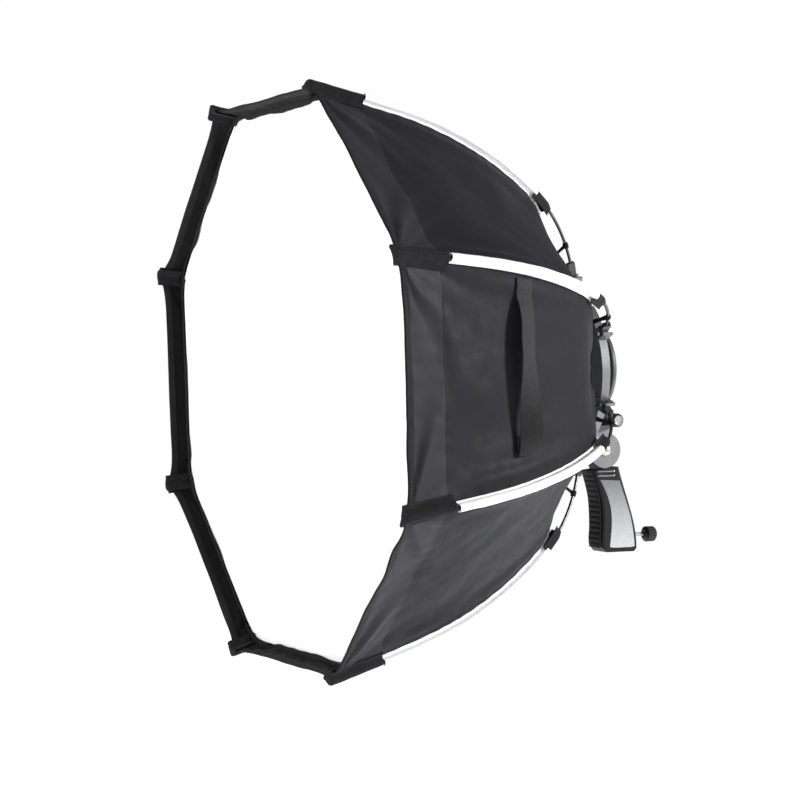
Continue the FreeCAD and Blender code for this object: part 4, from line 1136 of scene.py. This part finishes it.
def strap_distance():
    """How far behind the rim the strap's middle is, along the sewn corner."""
    _, depth, lean = rib_point(STRAP_ALONG)
    return float(np.interp(depth - FABRIC_DROP * math.sin(lean), LINE[:, 1], LINE_LENGTHS))


def make_strap():
    """Webbing handle across the near gore: sewn down at its top, folded under and sewn at its foot."""
    path = smooth_through(STRAP_PATH, 150)
    height, lift, twist = (path[:, k:k + 1] for k in range(3))
    height, lift = height * MM, lift * MM
    width = spread(STRAP_WIDTH / 2, 15)
    middle = strap_distance()
    half_chord = corner(middle)[0] * math.sin(HALF_ANGLE)
    along = middle + width * np.cos(twist) + 6 * MM * smooth_step(height, 30 * MM, 100 * MM)
    across = np.broadcast_to(height / half_chord, along.shape)
    cup = 0.5 * MM * (width / (STRAP_WIDTH / 2)) ** 2
    level = np.full(along.shape, middle)
    outward = gore_outward(0, level)
    run = facing_along(lambda *place: gore_surface(0, *place), across, level)
    top = gore_surface(0, across, level) + run * (along - middle)[..., None]
    top = top + outward * (lift + width * np.sin(twist) - cup)[..., None]
    length = along_line(path[:, :2])[:, None] * MM
    strap = thin_piece("carry_strap", STRAP, top, grid(width, length), 1.7 * MM, outward, rows=60)
    fit(strap, "rib_1", "webbing", "handle_strap")
    anchor = gore_surface(0, STRAP_PATH[0][0] * MM / half_chord, middle)
    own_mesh(strap)


def make_clips():
    """Small ties that hold the hub end of each gore to its rod."""
    around = ring_angles(18)
    distance = CLIP_DISTANCE + spread(CLIP_RADIUS, 8).T
    reach = CLIP_RADIUS + 0.25 * MM * np.sin(np.linspace(0, np.pi, 8))[:, None]
    radius, depth, lean = (float(v) for v in rib_point(CLIP_DISTANCE))
    below, forward = 2.6 * MM, depth - 15 * MM
    foot = np.array([np.interp(forward, LINE[:, 1], LINE[:, 0]), forward])
    head = np.array([radius - below * math.cos(lean), depth - below * math.sin(lean)])
    share = np.linspace(0.0, 1.0, 8)[:, None]
    line = head * (1 - share) + foot * share
    sideways = spread(3.4 * MM, 7) * (1 - 0.3 * np.sin(np.pi * share))
    bulge = 0.7 * MM * np.sin(np.pi * share)
    for rib in RIB_NUMBERS:
        skin = Skin()
        top = rib_frame_points(rib, distance, reach * np.cos(around), reach * np.sin(around))
        centre = rib_frame_points(rib, distance, 0.0, 0.0)
        thin_slab(skin, top, grid(around * CLIP_RADIUS, distance), 1.3 * MM, top - centre, wrap=True)
        stem = combine(rib_axes(rib), line[:, :1] + bulge, line[:, 1:], sideways)
        thin_slab(skin, stem, grid(sideways, share * 20 * MM), 1.5 * MM, rib_axes(rib)[0])
        fit(skin.build("tie_clip_%d" % rib, [WEBBING]), "rib_%d" % rib, "webbing")


# --------------------------------------------------------------------- grip

def make_finger_pad():
    """Rubber strip down the front of the grip, with rows of small ridges."""
    low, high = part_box("finger_pad")
    outline = pad_outline(low, high)
    length = along_line(outline)
    run = np.linspace(0.0, length[-1], 260)
    line = np.stack([np.interp(run, length, outline[:, k]) for k in (0, 1)], 1)
    tangent = np.gradient(line, run, axis=0)
    outward = np.stack([-tangent[:, 1], tangent[:, 0]], 1)
    outward *= -np.sign(outward[:, :1])
    ridge = RIDGE_DEPTH * (np.abs(np.sin(np.pi * run / RIDGE_PITCH)) ** 0.6 - 1.0)
    ends = smooth_step(run, 0.0, 6 * MM) * smooth_step(length[-1] - run, 0.0, 6 * MM)
    share = np.linspace(-1.0, 1.0, 25)
    side = share * ((high.x - low.x) / 2 + 0.4 * MM)
    face = (ridge * ends)[:, None] * (1 - np.abs(share) ** 6) - 1.6 * MM * np.abs(share) ** 4
    back, up, back_out, up_out = np.hstack([line, outward]).T[..., None]
    points, under = (from_row(grid(side, back + back_out * lift, up + up_out * lift))
                     for lift in (face, -2.7 * MM))
    skin = Skin()
    skin.slab(points, under, side_normals(points, FORWARD), grid(side, run[:, None]))
    pad = skin.build("ridged_finger_pad", [RUBBER], smooth=40.0)
    fit(pad, "grip", "grip_rubber", "finger_pad")


def pad_outline(low, high):
    """Front edge of the grip as (back, up), from the foot to the top of the pad."""
    shape = [(0.94, 0.0), (0.862, 0.113), (0.92, 0.302), (0.78, 0.623), (0.353, 0.868), (0.0, 1.0)]
    tall = high.z - low.z
    return smooth_through([(low.y + a * PAD_DEPTH, low.z + b * tall) for a, b in shape], 200)


def shell_side(node, side, back, height):
    """How far out the side of a moulding is, at places given by their Y and Z."""
    obj = bpy.data.objects[node]
    to_mesh = obj.matrix_world.inverted()
    turn = to_mesh.to_3x3()
    out = np.zeros(back.shape)
    for index in np.ndindex(back.shape):
        start = Vector((side * 0.1, back[index], height[index]))
        found, place, _, _ = obj.ray_cast(to_mesh @ start, turn @ Vector((-side, 0.0, 0.0)))
        out[index] = (obj.matrix_world @ place).x if found else np.nan
    return out


def make_grip_bars():
    """Two rounded trim bars across the top of each side of the grip."""
    skin = Skin()
    for side, node in ((1, "grip_near_shell"), (-1, "grip_far_shell")):
        for height in BAR_HEIGHTS:
            back, turn = np.meshgrid(np.linspace(BAR_FRONT, BAR_REAR, 22),
                                     np.linspace(0.02, 0.98, 9) * math.pi, indexing="ij")
            z = height + BAR_HALF_WIDTH * np.cos(turn)
            wall = shell_side(node, side, back, z)
            wall = np.where(np.isnan(wall), np.nanmedian(wall), wall)
            from_middle = np.abs(back - (BAR_FRONT + BAR_REAR) / 2)
            ends = np.sqrt(np.maximum(1 - (from_middle / (14.1 * MM)) ** 10, 0.03))
            proud = 0.1 * MM + 0.8 * MM * np.sin(turn) * ends
            top, under = (from_row(grid(wall + side * lift, back, z)) for lift in (proud, -0.3 * MM))
            skin.slab(top, under, side_normals(top, np.array([side, 0.0, 0.0])), grid(back, z))
    fit(skin.build("grip_trim_bars", [TRIM]), "grip", "grip_plastic")


def make_knob_cap():
    """Turned metal disc set into the end of the clamp knob."""
    low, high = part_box("clamp_knob")
    centre = (low + high) / 2
    rings = np.array([0.02, 0.3, 0.6, 0.72, 0.78, 0.84, 0.95, 1.0])[:, None]
    rise = np.array([0.2, 0.2, 0.2, 0.25, 0.75, 0.8, 0.75, 0.35])[:, None] * MM
    angle = ring_angles(48)
    y, z = CAP_RADIUS * rings * np.cos(angle), CAP_RADIUS * rings * np.sin(angle)
    top, under = (from_row(grid(high.x + lift, centre.y + y, centre.z + z)) for lift in (rise, -0.4 * MM))
    skin = Skin()
    skin.slab(top, under, side_normals(top, np.array([1.0, 0.0, 0.0]), True), grid(y, z), wrap=True)
    fit(skin.build("clamp_knob_cap", [STEEL], smooth=35.0), "clamp_knob", "steel")


# -------------------------------------------------- camera, floor and lights

VIEW_AZIMUTH, VIEW_ELEVATION = math.radians(62.227), math.radians(0.987)
VIEW_ROLL = math.radians(0.130)
VIEW_DISTANCE = 2.749
AIM_RIGHT, AIM_UP = 0.16943, -0.02163
LENS = 97.65
FLOOR_DROP = 0.62
FLOOR_RADIUS = 30.0
FLOOR_GLOW, WORLD_GLOW = 0.85, 0.16
# Each light's name, place from the object's centre, size in metres and power in watts.
LIGHTS = (("key", (1.7, 2.7, 0.9), 0.5, 165.0), ("camera_side", (2.9, -1.6, -0.2), 1.4, 18.0),
          ("top", (-0.4, 0.2, 3.0), 2.0, 8.0), ("front", (-0.8, -3.4, 0.8), 1.6, 90.0))


def make_camera():
    data = bpy.data.cameras.new("camera")
    data.lens = LENS
    data.clip_start, data.clip_end = 0.05, 100.0
    camera = add_object("camera", data)
    back = Vector((math.sin(VIEW_AZIMUTH) * math.cos(VIEW_ELEVATION),
                   -math.cos(VIEW_AZIMUTH) * math.cos(VIEW_ELEVATION), math.sin(VIEW_ELEVATION)))
    right = Vector((0.0, 0.0, 1.0)).cross(back).normalized()
    up = back.cross(right)
    rolled = right * math.cos(VIEW_ROLL) + up * math.sin(VIEW_ROLL)
    upright = up * math.cos(VIEW_ROLL) - right * math.sin(VIEW_ROLL)
    rim_centre = Vector(HEAD[:3, 3])
    place = rim_centre + rolled * AIM_RIGHT + upright * AIM_UP + back * VIEW_DISTANCE
    camera.matrix_world = Matrix.Translation(place) @ Matrix((rolled, upright, back)).transposed().to_4x4()
    bpy.context.scene.camera = camera


def make_world():
    """White backdrop, with a dimmer soft light from all round on the object itself."""
    world = bpy.data.worlds.new("studio")
    bpy.context.scene.world = world
    world.use_nodes = True
    tree = world.node_tree
    soft = tree.nodes["Background"]
    soft.inputs["Strength"].default_value = WORLD_GLOW
    white = tree.nodes.new("ShaderNodeBackground")
    for background in (soft, white):
        background.inputs["Color"].default_value = (1.0, 1.0, 1.0, 1.0)
    seen = tree.nodes.new("ShaderNodeLightPath")
    mix = tree.nodes.new("ShaderNodeMixShader")
    tree.links.new(seen.outputs["Is Camera Ray"], mix.inputs[0])
    tree.links.new(soft.outputs[0], mix.inputs[1])
    tree.links.new(white.outputs[0], mix.inputs[2])
    tree.links.new(mix.outputs[0], tree.nodes["World Output"].inputs[0])


def make_stage():
    """Pale floor, white backdrop and soft lights."""
    low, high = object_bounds()
    centre = (low + high) / 2
    ring = [(centre.x + FLOOR_RADIUS * math.cos(a), centre.y + FLOOR_RADIUS * math.sin(a), low.z - FLOOR_DROP)
            for a in ring_angles(64)[0]]
    mesh = bpy.data.meshes.new("floor")
    mesh.from_pydata(ring, [], [tuple(range(len(ring)))])
    paper = Finish("floor_paper", Base_Color=(0.93, 0.93, 0.93, 1.0), Roughness=0.9, Specular_IOR_Level=0.1,
                   Emission_Strength=FLOOR_GLOW, Emission_Color=(1.0, 1.0, 1.0, 1.0))
    mesh.materials.append(paper.material)
    add_object("floor", mesh)
    make_world()
    for name, place, size, power in LIGHTS:
        data = bpy.data.lights.new(name, "AREA")
        data.size, data.energy = size, power
        light = add_object(name, data)
        light.location = centre + Vector(place)
        light.rotation_mode = "QUATERNION"
        light.rotation_quaternion = (-Vector(place)).to_track_quat("-Z", "Y")
    bpy.context.scene.view_settings.view_transform = "Standard"


finish_cad_nodes()
make_gores()
make_rib_cloth()
make_diffuser()
make_strap()
make_clips()
make_finger_pad()
make_grip_bars()
make_knob_cap()
make_camera()
make_stage()
